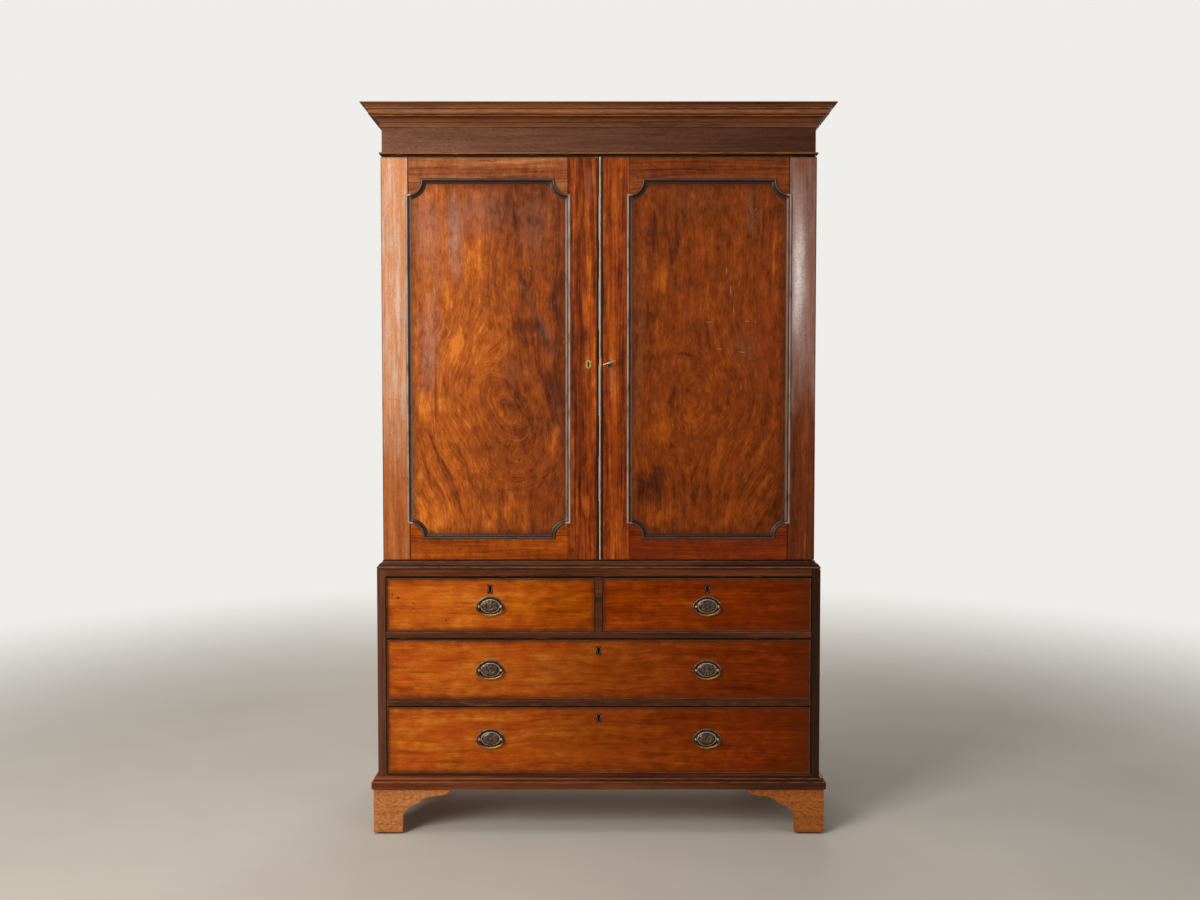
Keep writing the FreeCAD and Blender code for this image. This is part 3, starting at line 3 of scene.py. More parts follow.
import bpy
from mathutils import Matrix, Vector


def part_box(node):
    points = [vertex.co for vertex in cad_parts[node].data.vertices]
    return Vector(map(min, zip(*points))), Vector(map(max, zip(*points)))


# Looks of the linen press: polished mahogany with flame-figured panels, aged brass, pale room.
# Lengths are metres in the CAD frame: +Z up, the front looks along -Y. Colours are display
# numbers from 0 to 255. A column and row are a place in the camera's 1200 x 900 view.
CAMERA_PLACE = (0.0035, -3.454, 1.194)
CAMERA_DIP = 2.3  # degrees below level
LENS, SENSOR = 35, 36  # millimetres
FOCAL = 1166.7  # the lens in columns of the view
MIDDLE_COLUMN, MIDDLE_ROW = 600, 450
FLOOR_SIZE = 60
FLOOR_FADE = (1.6, 4.5)  # distances over which the floor takes the room's colour
ROOM = (0.86, 0.85, 0.82)
WORLD_LIGHT = (0.93, 0.95, 1)
WORLD_STRENGTH = 0.1
# name: place, target, size, power, colour
LIGHTS = {"key": ((-2.6, -3.2, 2.5), (-0.5, -0.2, 1.1), (1.6, 2.2), 138, (1, 0.98, 0.95)),
          "fill": ((2.9, -3.0, 2.1), (0.2, -0.2, 1.1), (1.4, 2.0), 20, (0.97, 0.98, 1)),
          "top": ((-1.0, -0.9, 4.4), (-0.2, 0, 0.6), (3.0, 2.0), 50, (1, 1, 1)),
          "back": ((0.3, 3.8, 2.6), (0, 0, 1.0), (2.4, 2.4), 80, (1, 1, 1))}

DOOR_FACE = -0.239
MOULDING_FOOT = -0.23925  # where the panel moulding meets the frame
LOWER_FACE = -0.254  # drawer fronts and lower case
KEY_BOW = -0.275
UPPER_FRONT = (0.593, -0.236)  # X and Y where a moulding turns to the side
FRIEZE_FRONT = (0.592, -0.237)
LOWER_FRONT = (0.6115, LOWER_FACE)
HALF_CASE = 0.62  # half the width over which the case darkens to the right, partly as painted shade
FRONT_END = (-0.225, -0.205)  # Y over which a moulding's front wood gives way to its side's
SIDE_START = (-0.2536, -0.252)  # the same on the upright sides
DRAWERS_FOOT, DRAWERS_TOP = 0.165, 0.716
DOOR_MIDDLE = 1.3
KEY_X, KEY_Z = 0.0285, 1.302  # escutcheons of the doors
HANDLE_X = 0.2995
# plates and keyhole of each drawer, by height
HANDLE_LEVELS = {"top_left_drawer": (0.634, 0.681), "top_right_drawer": (0.634, 0.681),
                 "middle_drawer": (0.457, 0.51), "bottom_drawer": (0.2645, 0.322)}
BOX_WOOD = 0.0125  # sides and back of drawer boxes and trays
FRONT_WOOD = 0.0215  # polished part of a drawer front

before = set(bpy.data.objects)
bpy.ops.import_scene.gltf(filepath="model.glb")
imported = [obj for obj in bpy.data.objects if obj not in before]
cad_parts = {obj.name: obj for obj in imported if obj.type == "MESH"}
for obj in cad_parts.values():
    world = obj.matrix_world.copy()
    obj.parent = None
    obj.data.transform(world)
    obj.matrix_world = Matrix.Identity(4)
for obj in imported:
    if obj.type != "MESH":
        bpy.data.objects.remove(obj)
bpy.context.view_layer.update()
scene = bpy.context.scene
scene.view_settings.view_transform = "Standard"


# ---------------- camera, light and stage
def make_camera():
    data = bpy.data.cameras.new("camera")
    data.lens = LENS
    data.sensor_width = SENSOR
    camera = bpy.data.objects.new("camera", data)
    scene.collection.objects.link(camera)
    camera.location = CAMERA_PLACE
    camera.rotation_euler = (math.radians(90 - CAMERA_DIP), 0, 0)
    scene.camera = camera


def make_lights():
    for name, (place, target, size, power, colour) in LIGHTS.items():
        data = bpy.data.lights.new(name, "AREA")
        data.shape = "RECTANGLE"
        data.size, data.size_y = size
        data.energy = power
        data.color = colour
        lamp = bpy.data.objects.new(name, data)
        scene.collection.objects.link(lamp)
        lamp.location = place
        aim = Vector(target) - Vector(place)
        lamp.rotation_euler = aim.to_track_quat("-Z", "Y").to_euler()


def make_world():
    world = bpy.data.worlds.new("room")
    scene.world = world
    world.use_nodes = True
    tree = world.node_tree
    tree.nodes.clear()
    out = tree.nodes.new("ShaderNodeOutputWorld")
    skies = []
    for colour, strength in ((WORLD_LIGHT, WORLD_STRENGTH), (ROOM, 1)):
        sky = tree.nodes.new("ShaderNodeBackground")
        feed(tree, sky.inputs["Color"], (*colour, 1))
        feed(tree, sky.inputs["Strength"], strength)
        skies.append(sky.outputs[0])
    path = tree.nodes.new("ShaderNodeLightPath")
    mix = tree.nodes.new("ShaderNodeMixShader")
    for socket, value in zip(mix.inputs, (path.outputs["Is Camera Ray"], *skies)):
        feed(tree, socket, value)
    feed(tree, out.inputs["Surface"], mix.outputs[0])


def make_stage():
    bpy.ops.mesh.primitive_plane_add(size=FLOOR_SIZE, location=(0, 0, 0))
    floor = bpy.context.object
    floor.name = "floor"
    floor.data.materials.append(floor_material())


# ---------------- node arithmetic
def linear(red, green, blue):
    """A colour given as display numbers, 0 to 255, as the shader wants it."""
    def channel(value):
        value /= 255
        return value / 12.92 if value <= 0.04045 else ((value + 0.055) / 1.055) ** 2.4
    return (channel(red), channel(green), channel(blue), 1)


def operator(operation):
    """A method that puts its field, and what else it is given, into one Math node."""
    return lambda self, *others: self.op(operation, *others)


class Field:
    """A number that varies over a surface, with arithmetic that makes Math nodes."""

    def __init__(self, tree, socket):
        self.tree = tree
        self.socket = socket

    def op(self, operation, *others):
        node = self.tree.nodes.new("ShaderNodeMath")
        node.operation = operation
        for index, value in enumerate((self, *others)):
            feed(self.tree, node.inputs[index], value)
        return Field(self.tree, node.outputs[0])

    __add__ = __radd__ = operator("ADD")
    __sub__ = operator("SUBTRACT")
    __mul__ = __rmul__ = operator("MULTIPLY")
    __truediv__ = operator("DIVIDE")
    abs = operator("ABSOLUTE")
    root = operator("SQRT")
    below = operator("LESS_THAN")
    above = operator("GREATER_THAN")
    lowest = operator("MINIMUM")
    highest = operator("MAXIMUM")

    def __neg__(self):
        return self * -1

    def __rsub__(self, other):
        return -self + other

    def ramp(self, low, high, out_low=0, out_high=1):
        """Smooth step from out_low at low to out_high at high."""
        node = self.tree.nodes.new("ShaderNodeMapRange")
        node.interpolation_type = "SMOOTHSTEP"
        for name, value in zip(("Value", "From Min", "From Max", "To Min", "To Max"),
                               (self, low, high, out_low, out_high)):
            feed(self.tree, node.inputs[name], value)
        return Field(self.tree, node.outputs["Result"])


def feed(tree, socket, value):
    if isinstance(value, Field):
        tree.links.new(value.socket, socket)
    elif isinstance(value, bpy.types.NodeSocket):
        tree.links.new(value, socket)
    else:
        socket.default_value = value


class Paint:
    """A material under construction: coordinates, noises, its colour so far and the shader."""

    def __init__(self, name):
        self.colour = None
        self.material = bpy.data.materials.new(name)
        self.material.use_nodes = True
        self.tree = self.material.node_tree
        self.tree.nodes.clear()
        coordinates = self.node("TexCoord")
        split = self.node("SeparateXYZ")
        feed(self.tree, split.inputs[0], coordinates.outputs["Object"])
        self.x, self.y, self.z = (Field(self.tree, split.outputs[k]) for k in range(3))

    def node(self, kind):
        return self.tree.nodes.new(f"ShaderNode{kind}")

    def vector(self, x, y, z):
        node = self.node("CombineXYZ")
        for socket, value in zip(node.inputs, (x, y, z)):
            feed(self.tree, socket, value)
        return node.outputs[0]

    def noise(self, x, y, z, detail=3, roughness=0.55):
        """Cloudy noise about 0.5, one cloud per unit."""
        node = self.node("TexNoise")
        for socket, value in (("Scale", 1), ("Detail", detail), ("Roughness", roughness),
                              ("Vector", self.vector(x, y, z))):
            feed(self.tree, node.inputs[socket], value)
        return Field(self.tree, node.outputs["Fac"])

    def cloud(self, scale, seed, detail):
        """Noise of one scale in every direction."""
        return self.noise(self.x * scale, self.y * scale, self.z * scale + seed, detail)

    def mix(self, amount, first, second):
        node = self.node("Mix")
        node.data_type = "RGBA"
        node.clamp_factor = True
        feed(self.tree, node.inputs[0], amount)
        feed(self.tree, node.inputs[6], first)
        feed(self.tree, node.inputs[7], second)
        return node.outputs[2]

    def over(self, amount, shade):
        """Lay a display colour, or a colour socket, over the colour so far."""
        if isinstance(shade, tuple):
            shade = linear(*shade)
        self.colour = self.mix(amount, self.colour, shade)

    def shades(self, amount, stops):
        """Colour along a ramp of (position, display colour) stops."""
        node = self.node("ValToRGB")
        ramp = node.color_ramp
        ramp.interpolation = "EASE"
        while len(ramp.elements) < len(stops):
            ramp.elements.new(0.5)
        for element, (position, colour) in zip(ramp.elements, stops):
            element.position = position
            element.color = linear(*colour)
        feed(self.tree, node.inputs[0], amount)
        return node.outputs[0]

    def wood(self, parts, stops, weights=(1.1, 0.9, 0.5), extra=0, pore=0.4,
             pore_colour=(44, 18, 8)):
        """Colour of wood with this grain."""
        broad, streak, fibre, pores = parts
        tone = broad * weights[0] + streak * weights[1] + fibre * weights[2] + 0.5 + extra
        colour = self.shades(tone, stops)
        return self.mix(pores * pore, colour, linear(*pore_colour))

    def where(self, mask, yes, no):
        """Yes where the mask is 1, no where it is 0: two fields, or two numbers."""
        return no + mask * (yes - no) if isinstance(no, Field) else mask * (yes - no) + no

    def oval(self, u, v, half_width, half_height, tilt):
        """Square of the distance from the middle of an oval, 1 on its rim."""
        cos, sin = math.cos(math.radians(tilt)), math.sin(math.radians(tilt))
        a = (u * cos + v * sin) / half_width
        b = (v * cos - u * sin) / half_height
        return a * a + b * b

    def blob(self, u, v, half_width, half_height, tilt=0, edge=1):
        """1 at the middle of a soft oval, 0 outside it."""
        return self.oval(u, v, half_width, half_height, tilt).root().ramp(1, 1 - edge)

    def finish(self, roughness, height=None, bump=0.0002, metallic=0, specular=0.5,
               coat=0, coat_roughness=0.1, tint=(1, 1, 1)):
        shader = self.node("BsdfPrincipled")
        out = self.node("OutputMaterial")
        feed(self.tree, out.inputs["Surface"], shader.outputs[0])
        for socket, value in (("Base Color", self.colour), ("Roughness", roughness),
                              ("Metallic", metallic), ("Specular IOR Level", specular),
                              ("Coat Weight", coat), ("Coat Roughness", coat_roughness),
                              ("Specular Tint", (*tint, 1))):
            feed(self.tree, shader.inputs[socket], value)
        if height is not None:
            node = self.node("Bump")
            node.inputs["Strength"].default_value = 1
            node.inputs["Distance"].default_value = bump
            feed(self.tree, node.inputs["Height"], height)
            feed(self.tree, shader.inputs["Normal"], node.outputs[0])
        return self.material


def begin(name):
    """A new paint, and its X, Y and Z."""
    paint = Paint(name)
    return paint, paint.x, paint.y, paint.z


def floor_material():
    """Pale floor that fades into the room's own colour away from the press."""
    paint = Paint("floor_paint")
    cloud = paint.noise(paint.x * 3, paint.y * 3, 0, 4)
    paint.colour = paint.mix(cloud, linear(206, 198, 186), linear(196, 187, 174))
    material = paint.finish(0.8, specular=0.1)
    tree = paint.tree
    out = next(node for node in tree.nodes if node.type == "OUTPUT_MATERIAL")
    surface = out.inputs["Surface"].links[0].from_socket
    far = (paint.x * paint.x + paint.y * paint.y).root().ramp(*FLOOR_FADE)
    path = paint.node("LightPath")
    seen = Field(tree, path.outputs["Is Camera Ray"]) * far
    glow = paint.node("Emission")
    glow.inputs["Color"].default_value = (*ROOM, 1)
    blend = paint.node("MixShader")
    for socket, value in zip(blend.inputs, (seen, surface, glow.outputs[0])):
        feed(tree, socket, value)
    feed(tree, out.inputs["Surface"], blend.outputs[0])
    return material


# ---------------- places on the press
def px(column, row, plane):
    """X and Z on an upright plane, from a place in the camera's view."""
    depth = plane - CAMERA_PLACE[1]
    dip = math.radians(CAMERA_DIP)
    right = (column - MIDDLE_COLUMN) / FOCAL
    up = (MIDDLE_ROW - row) / FOCAL
    forward = math.cos(dip) + up * math.sin(dip)
    rise = up * math.cos(dip) - math.sin(dip)
    return CAMERA_PLACE[0] + depth * right / forward, CAMERA_PLACE[2] + depth * rise / forward


def spots(rows, sizes=2, plane=DOOR_FACE):
    """Rows of a table in metres: X, Z for column and row, and so many half sizes converted."""
    return [(*px(column, row, plane), *(size / 1000 for size in rest[:sizes]), *rest[sizes:])
            for column, row, *rest in rows]


def edge_distance(paint, low, high):
    """Distance in from the nearest edge of a face that spans its box in X and Z."""
    near_x = (paint.x - low.x).lowest(paint.x * -1 + high.x)
    near_z = (paint.z - low.z).lowest(paint.z * -1 + high.z)
    return near_x.lowest(near_z)


# ---------------- wood
def centred(field, gain=1):
    return (field - 0.5) * gain


def grain(paint, along, across, depth, seed, wave=0.012):
    """Streaks, fibres and pores that run along the board, as numbers about nought."""
    wander = paint.noise(along * 2.6, across * 7, depth * 7 + seed, 2)
    across = across + centred(wander, wave * 2)
    broad = centred(paint.noise(along * 1.7, across * 34, depth * 20 + seed, 3, 0.55))
    streak = centred(paint.noise(along * 5, across * 150, depth * 70 + seed, 3, 0.6))
    fibre = centred(paint.noise(along * 24, across * 620, depth * 300 + seed, 2, 0.6))
    pores = paint.noise(along * 110, across * 1900, depth * 900 + seed, 1, 0.5)
    return broad, streak, fibre, pores.ramp(0.6, 0.72)


def wood_height(parts):
    return parts[1] * 0.8 + parts[2] * 0.8 - parts[3] * 0.7


def spread(*colours):
    """Evenly spaced ramp stops."""
    return [(index / (len(colours) - 1), colour) for index, colour in enumerate(colours)]


# dark to light
DARK = spread((38, 15, 7), (64, 29, 14), (88, 42, 20), (114, 58, 30), (144, 80, 44))
DIM = spread((26, 10, 5), (44, 19, 10), (62, 29, 15), (82, 42, 24), (104, 58, 34))
SIDE = spread((66, 28, 11), (98, 46, 21), (126, 64, 31), (150, 84, 46), (174, 108, 66))
OAK = spread((120, 78, 42), (158, 110, 66), (186, 138, 90), (208, 168, 122))
PINE = spread((132, 90, 50), (168, 122, 74), (194, 148, 98), (214, 176, 130))
TRAY = spread((92, 46, 22), (126, 68, 36), (154, 90, 50), (180, 114, 70))
# BLACK paints shade: in gaps, quirks, under beads and in keyholes
BLACK = (18, 9, 5)
JOINT = (34, 15, 9)
# tints of the shader's mirror light
WARM = (1, 0.68, 0.42)
MILD = (1, 0.85, 0.72)
AMBER = (1, 0.5, 0.15)


def case_material(name, seed, near, far, front=None, lines=(), uprights=(), upright=False):
    """Polished mahogany of the case, from near at the left to far at the right, a darkening to
    the right that is partly painted shade. Its grain runs level along the front and the sides,
    which start at the X and Y of front, or upright. Lines and uprights are rows of place, half
    width, colour and amount: pale lines of painted highlight on rounds and arrises, and dark
    lines of painted shade in quirks, under beads and in the gaps round the drawers. The place
    is a height, or a distance from the middle."""
    paint, x, y, z = begin(name)
    if upright:
        along, across, depth = z, y + x * 1.7, x
    elif front is None:
        along, across, depth = x, z, y
    else:
        side = (x.abs() - front[0]).above(y * -1 + front[1])
        along, across, depth = paint.where(side, y, x), z, paint.where(side, x, y)
    parts = grain(paint, along, across, depth, seed, 0.006)
    # Near gives way to far: a darkening to the right that is partly painted shade.
    paint.colour = paint.mix(x.ramp(-HALF_CASE, HALF_CASE), paint.wood(parts, near),
                             paint.wood(parts, far))
    away = y.ramp(*(SIDE_START if upright else FRONT_END))
    paint.over(away, paint.wood(parts, SIDE))
    # A patchy noise breaks up the lines of painted highlight and painted shade.
    patchiness = paint.noise(x * 30, y * 30, z * 200 + seed, 3).ramp(0.3, 0.6)
    for place, half, shade, amount in lines:
        line = (z - place).abs().ramp(half, half * 0.25)
        paint.over(line * patchiness * amount, shade)
    for place, half, shade, amount in uprights:
        line = ((x.abs() - place).abs().ramp(half, half * 0.25)
                * z.below(DRAWERS_TOP) * z.above(DRAWERS_FOOT))
        paint.over(line * amount, shade)
    rough = parts[1].ramp(-0.2, 0.2, 0.34, 0.46)
    return paint.finish(rough, wood_height(parts), 0.0005, specular=0.28, coat=0.12,
                        coat_roughness=0.2, tint=WARM)


def panel_material(name, node, seed, figure, glows, clouds, sheens_and_tints, scratches, stops, gains,
                   slant):
    """Figured panel: upright streaks that part round an oval swirl, faint nested rings in it,
    cup-shaped arcs under it, patches of lighter and darker tone, and pale patches of painted
    sheen with a few patches of tint among them."""
    paint, x, y, z = begin(name)
    bend_x = centred(paint.noise(x * 7, z * 3, seed, 3), 0.05)
    bend_z = centred(paint.noise(x * 6, z * 5, seed + 7, 3), 0.08)

    def rings(cx, cz, *oval):
        u, v = x - cx + bend_x * 0.5, z - cz + bend_z * 0.5
        return (paint.oval(u, v, *oval) + 0.01).root()

    swirl, cups = spots(figure["rings"])
    cx, cz, half_width = swirl[:3]
    rho = rings(*swirl)
    parting = rho.ramp(0.3, 2.2, 0.72, 0)
    sheer = 0
    for sx, sz, sw, sh, slope in spots(figure["lean"]):
        sheer = paint.blob(x - sx, z - sz, sw, sh) * (z - sz) * slope + sheer
    u = (x - cx) * (parting * -1 + 1) + bend_x + sheer
    v = z + bend_z
    flow_gain, ring_gain = gains
    streak = centred(paint.noise(u * 38, v * 3.2, seed, 3, 0.55), 0.9)
    lines = centred(paint.noise(u * 140, v * 9, seed + 3, 3, 0.6), 0.8)
    dashes = centred(paint.noise(u * 420, v * 44, seed + 5, 2, 0.6), 0.8)
    flow = (streak + lines) * flow_gain + dashes * 0.9
    ring = rho * half_width
    loops = (centred(paint.noise(ring * 55, z * 4, seed + 9, 3, 0.6), 0.55)
             + centred(paint.noise(ring * 260, x * 13, seed + z * 13, 3, 0.6), 1)
             + dashes * 0.5)
    tone = flow + rho.ramp(1.15, 0.7) * (loops - flow) * ring_gain
    az, aw = cups[1:3]
    cup = rings(*cups)
    cup_lines = (centred(paint.noise(cup * aw * 240, x * 12, seed + 13, 3, 0.6), 1)
                 + dashes * 0.5)
    cup_mask = cup.ramp(1.7, 0.9) * z.ramp(az + 0.03, az - 0.03)
    tone = tone + cup_mask * (cup_lines - tone) * ring_gain
    mottle = paint.noise(x * 46, z * 24, seed + 11, 5, 0.65)
    low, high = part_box(node)
    # The slant lightens the left and darkens the right of the panel, partly as painted shade.
    tone = tone + centred(mottle, 0.95) + x.ramp(low.x, high.x, slant[0], slant[1]) + 0.5
    for patches, lay in ((glows, Field.__add__), (clouds, Field.__sub__)):
        for gx, gz, gw, gh, tilt, weight in spots(patches):
            patch = paint.blob(x - gx + bend_x, z - gz + bend_z, gw, gh, tilt)
            tone = lay(tone, patch * weight)
    paint.colour = paint.shades(tone, stops)
    # Pale greyish patches of painted sheen over the figure, and a few saturated patches of tint.
    for hx, hz, hw, hh, tilt, weight, shade in spots(sheens_and_tints):
        sheen_and_tint = paint.blob(x - hx + bend_x, z - hz, hw, hh, tilt) * mottle.ramp(0.25, 0.6)
        paint.over(sheen_and_tint * weight, shade)
    pores = paint.noise(x * 1700, y * 500, z * 90 + seed, 1).ramp(0.58, 0.72)
    paint.over(pores * 0.35, (50, 20, 8))
    speck = paint.noise(x * 520, z * 330, seed + 17, 3, 0.7).ramp(0.56, 0.72)
    paint.over(speck * 0.22, (184, 132, 100))
    for sx, sz, length, tilt in spots(scratches, 1):
        mark = paint.blob(x - sx, z - sz, 0.0011, length, tilt, 0.8)
        paint.over(mark * 0.65, (206, 178, 150))
    # Darker along the rim next to the moulding: painted shade.
    rim = edge_distance(paint, low, high) + centred(mottle, 0.02)
    paint.over(rim.ramp(0.014, 0.04, 0.45, 0), (64, 30, 16))
    height = dashes * 0.8 - pores * 0.5 + mottle * 1.2
    rough = mottle.ramp(0.2, 0.8, 0.3, 0.44)
    return paint.finish(rough, height, 0.0005, specular=0.3, coat=0.12,
                        coat_roughness=0.15, tint=WARM)


def door_frame_material(name, node, seed, outer_left, fading, outer_high_with_sheen, outer_low, inner,
                        rail_high, rail_low, marks):
    """Stiles with upright grain and rails with level grain, parted by fine dark joints. The
    outer stile fades from high, paled by a painted sheen, to low. Marks are soft ovals with a
    colour of their own: knots, orange streaks, dull patches and pale patches of painted sheen."""
    lap, shoulder, corner = 0.0075, 0.0105, 0.042  # moulding over stile, over rail, arc's reach
    paint, x, y, z = begin(name)
    low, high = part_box(node)
    inner_low, inner_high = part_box(node.replace("frame", "moulding"))
    left = inner_low.x + lap
    right = inner_high.x - lap
    in_rail = x.above(left) * x.below(right)
    along = paint.where(in_rail, x, z)
    across = paint.where(in_rail, z, x)
    parts = grain(paint, along, across, y, seed, 0.01)
    blotch = centred(paint.noise(x * 55, z * 28, seed + 9, 5, 0.65))
    parts = (parts[0] + blotch * 0.7, parts[1], parts[2], parts[3])
    outer = x.below(left) if outer_left else x.above(right)
    # The outer stile's top is paled by a painted sheen.
    top = paint.wood(parts, outer_high_with_sheen, (0.8, 0.8, 0.4))
    foot = paint.wood(parts, outer_low, (0.9, 0.8, 0.4))
    fade = (z + centred(paint.noise(x * 30, z * 4, seed, 3), 0.3)).ramp(*fading)
    paint.colour = paint.mix(fade, foot, top)
    if outer_left:
        # On the left door's outer stile: orange streaks, a pale painted sheen on its upper part,
        # and browner patches lower down.
        streaks_and_sheen = paint.noise(x * 120, z * 9, seed + 21, 5, 0.65)
        paint.over(streaks_and_sheen.ramp(0.46, 0.6) * fade * 0.6, (214, 130, 76))
        paint.over(streaks_and_sheen.ramp(0.54, 0.34) * fade * 0.45, (224, 196, 180))
        paint.over(streaks_and_sheen.ramp(0.42, 0.34) * fade.ramp(1, 0) * 0.35, (158, 90, 54))
    paint.colour = paint.mix(outer, paint.wood(parts, inner, (1.5, 1.2, 0.5)), paint.colour)
    upper = paint.wood(parts, rail_high, (1.3, 1, 0.5))
    lower = paint.wood(parts, rail_low, (1.1, 0.9, 0.5))
    paint.over(in_rail, paint.mix(z.above(DOOR_MIDDLE), lower, upper))
    wave = centred(paint.noise(x * 60, z * 14, seed + 4, 3), 0.02)
    crumb = paint.noise(x * 150, z * 190, seed + 8, 4, 0.65).ramp(0.3, 0.62, 0.55, 1)
    for mx, mz, mw, mh, tilt, weight, shade in spots(marks):
        mark = paint.blob(x - mx + wave, z - mz + wave, mw, mh, tilt) * crumb
        paint.over(mark * weight, shade)
    seam = (x - left).abs().lowest((x - right).abs())
    middle = (left + right) / 2
    outer_half = x.below(middle) if outer_left else x.above(middle)
    crisp = paint.where(outer_half, 0.9, 0.28)
    paint.over(seam.ramp(0.0009, 0.0024) * -1 * crisp + crisp, JOINT)
    if outer_left:
        # A painted highlight along the left door's stile just outside the moulding, between these
        # heights.
        marked_zone = z.ramp(1.3, 1.42) * z.ramp(1.74, 1.6)
        arris = (x - left + 0.003).abs().ramp(0.002, 0.0006) * marked_zone
        paint.over(arris * 0.7, (240, 212, 198))
        # Painted shade in the gap where the doors meet, black at the left door's meeting edge.
        meeting = x.above(-0.0062) * z.ramp(1.8, 1.62, 0.4, 0.92)
        paint.over(meeting, BLACK)
    else:
        knot_x, knot_z = px(*KNOT, DOOR_FACE)
        ring = ((x - knot_x) * (x - knot_x) + (z - knot_z) * (z - knot_z)).root()
        ring = (ring + wave - 0.023).abs().ramp(0.0034, 0.0008)
        paint.over(ring * crumb * 0.42, (58, 24, 12))
    ends = (z - inner_high.z + shoulder).abs().lowest((z - inner_low.z - shoulder).abs())
    near_corner = (x - inner_low.x).lowest(x * -1 + inner_high.x)
    ends = ends + near_corner.above(corner) * 0.01 + near_corner.below(lap) * 0.01
    paint.over(ends.ramp(0.0004, 0.0016, 0.7, 0), JOINT)
    rim = edge_distance(paint, low, high)
    paint.over(rim.ramp(0.001, 0.005, 0.45, 0), (44, 20, 12))
    height = wood_height(parts) - seam.ramp(0, 0.0012, 2.5, 0)
    # Painted shade in the keyholes of the doors.
    well = ((x.abs() - KEY_X) * (x.abs() - KEY_X) * 4 + (z - KEY_Z) * (z - KEY_Z)).root()
    paint.over(well.ramp(0.0095, 0.008), (12, 6, 4))
    rough = parts[1].ramp(-0.2, 0.2, 0.27, 0.4)
    return paint.finish(rough, height, 0.0005, specular=0.35, coat=0.2,
                        coat_roughness=0.12, tint=WARM)


def drawer_material(name, node, seed, keyhole, near, far, fade, marks, dents=()):
    """Warm drawer front: long level streaks, darker edges, a dark cock bead round it with a
    painted highlight on its crown, and painted shade in the gap round it and in the keyhole.
    Fade is the X over which near gives way to far, a darkening to the right that is partly
    painted shade."""
    face = LOWER_FACE
    paint, x, y, z = begin(name)
    low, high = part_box(node)
    bend = centred(paint.noise(x * 2.2, seed, 0.5, 2), 0.07)
    across = z + bend + centred(paint.noise(x * 5, z * 9, seed, 3), 0.014)
    broad = centred(paint.noise(x * 1.6, across * 30, seed, 4, 0.6))
    streak = centred(paint.noise(x * 5, across * 130, seed + 2, 3, 0.6))
    fibre = centred(paint.noise(x * 30, across * 420, seed + 3, 2, 0.6))
    mottle = paint.noise(x * 26, z * 44, seed + 4, 4)
    pores = paint.noise(x * 110, z * 1900, y * 900 + seed, 1).ramp(0.6, 0.72)
    speckle = centred(paint.noise(x * 420, z * 800, seed + 8, 2, 0.7))
    tone = broad * 0.9 + streak * 0.75 + fibre * 0.55 + centred(mottle, 1) + speckle * 0.45 + 0.5
    # Near gives way to far: a darkening to the right that is partly painted shade.
    paint.colour = paint.mix(x.ramp(*fade), paint.shades(tone, near), paint.shades(tone, far))
    blush = paint.noise(x * 7, z * 16, seed + 15, 3).ramp(0.42, 0.64)
    paint.over(blush * x.ramp(-0.4, 0.2, 0.45, 0.1), (184, 66, 14))
    veins = paint.noise(x * 9, across * 210, seed + 12, 2, 0.5).ramp(0.6, 0.74)
    paint.over(veins * x.ramp(-0.3, 0.3, 0.2, 0.35), (84, 30, 4))
    paint.over(pores * 0.3, (70, 26, 6))
    wave = centred(paint.noise(x * 16, z * 60, seed + 6, 3), 0.012)
    for mx, mz, mw, mh, tilt, weight, shade in spots(marks, plane=face):
        mark = paint.blob(x - mx + wave * 2, z - mz + wave, mw, mh, tilt)
        paint.over(mark * weight, shade)
    edge = edge_distance(paint, low, high)
    # Darker towards the edges of the front, in a wide band and a narrow one.
    marked_zone = (edge + centred(mottle, 0.03)).ramp(0.004, 0.034, 0.3, 0)
    paint.over(marked_zone, (104, 42, 12))
    # Darker towards the right end.
    right_end_darkening = x.ramp(0.46, 0.585) * mottle.ramp(0.25, 0.6)
    paint.over(right_end_darkening * 0.5, (58, 22, 4))
    edge_darkening = (edge + centred(mottle, 0.01)).ramp(0.004, 0.013, 0.6, 0)
    paint.over(edge_darkening, (92, 38, 14))
    bead_colour = paint.shades(streak + fibre + 0.5, spread((54, 26, 16), (84, 44, 26),
                                                            (118, 74, 50)))
    paint.over(edge.ramp(0.0036, 0.0048, 0.92, 0), bead_colour)
    # A painted highlight on the crown of the cock bead.
    crown = (edge - 0.0021).abs().ramp(0.0012, 0.0003) * mottle.ramp(0.3, 0.6)
    paint.over(crown * 0.35, (146, 108, 88))
    shade = edge.ramp(0.001, 0.0013, 0.9, 0) * y.below(low.y + 0.004)
    paint.over(shade, (20, 9, 5))
    key_x, key_z = keyhole
    # Painted shade in the keyhole.
    well = (x - key_x).abs().below(0.007) * (z - key_z).abs().below(0.0125)
    paint.over(well * y.above(low.y + 0.0015) * y.below(low.y + 0.02), BLACK)
    for dx, dz, size in spots(dents, 1, face):
        dent = paint.blob(x - dx, z - dz, size, size * 0.8, 0, 0.6)
        paint.over(dent * 0.85, (34, 14, 6))
    raw = paint.shades(tone, OAK)
    paint.over(y.above(low.y + FRONT_WOOD), raw)
    height = streak * 0.5 + fibre * 0.7 - pores * 0.6 + mottle * 0.8
    rough = mottle.ramp(0.2, 0.8, 0.32, 0.46)
    return paint.finish(rough, height, 0.0004, specular=0.22, coat=0.05,
                        coat_roughness=0.2, tint=AMBER)


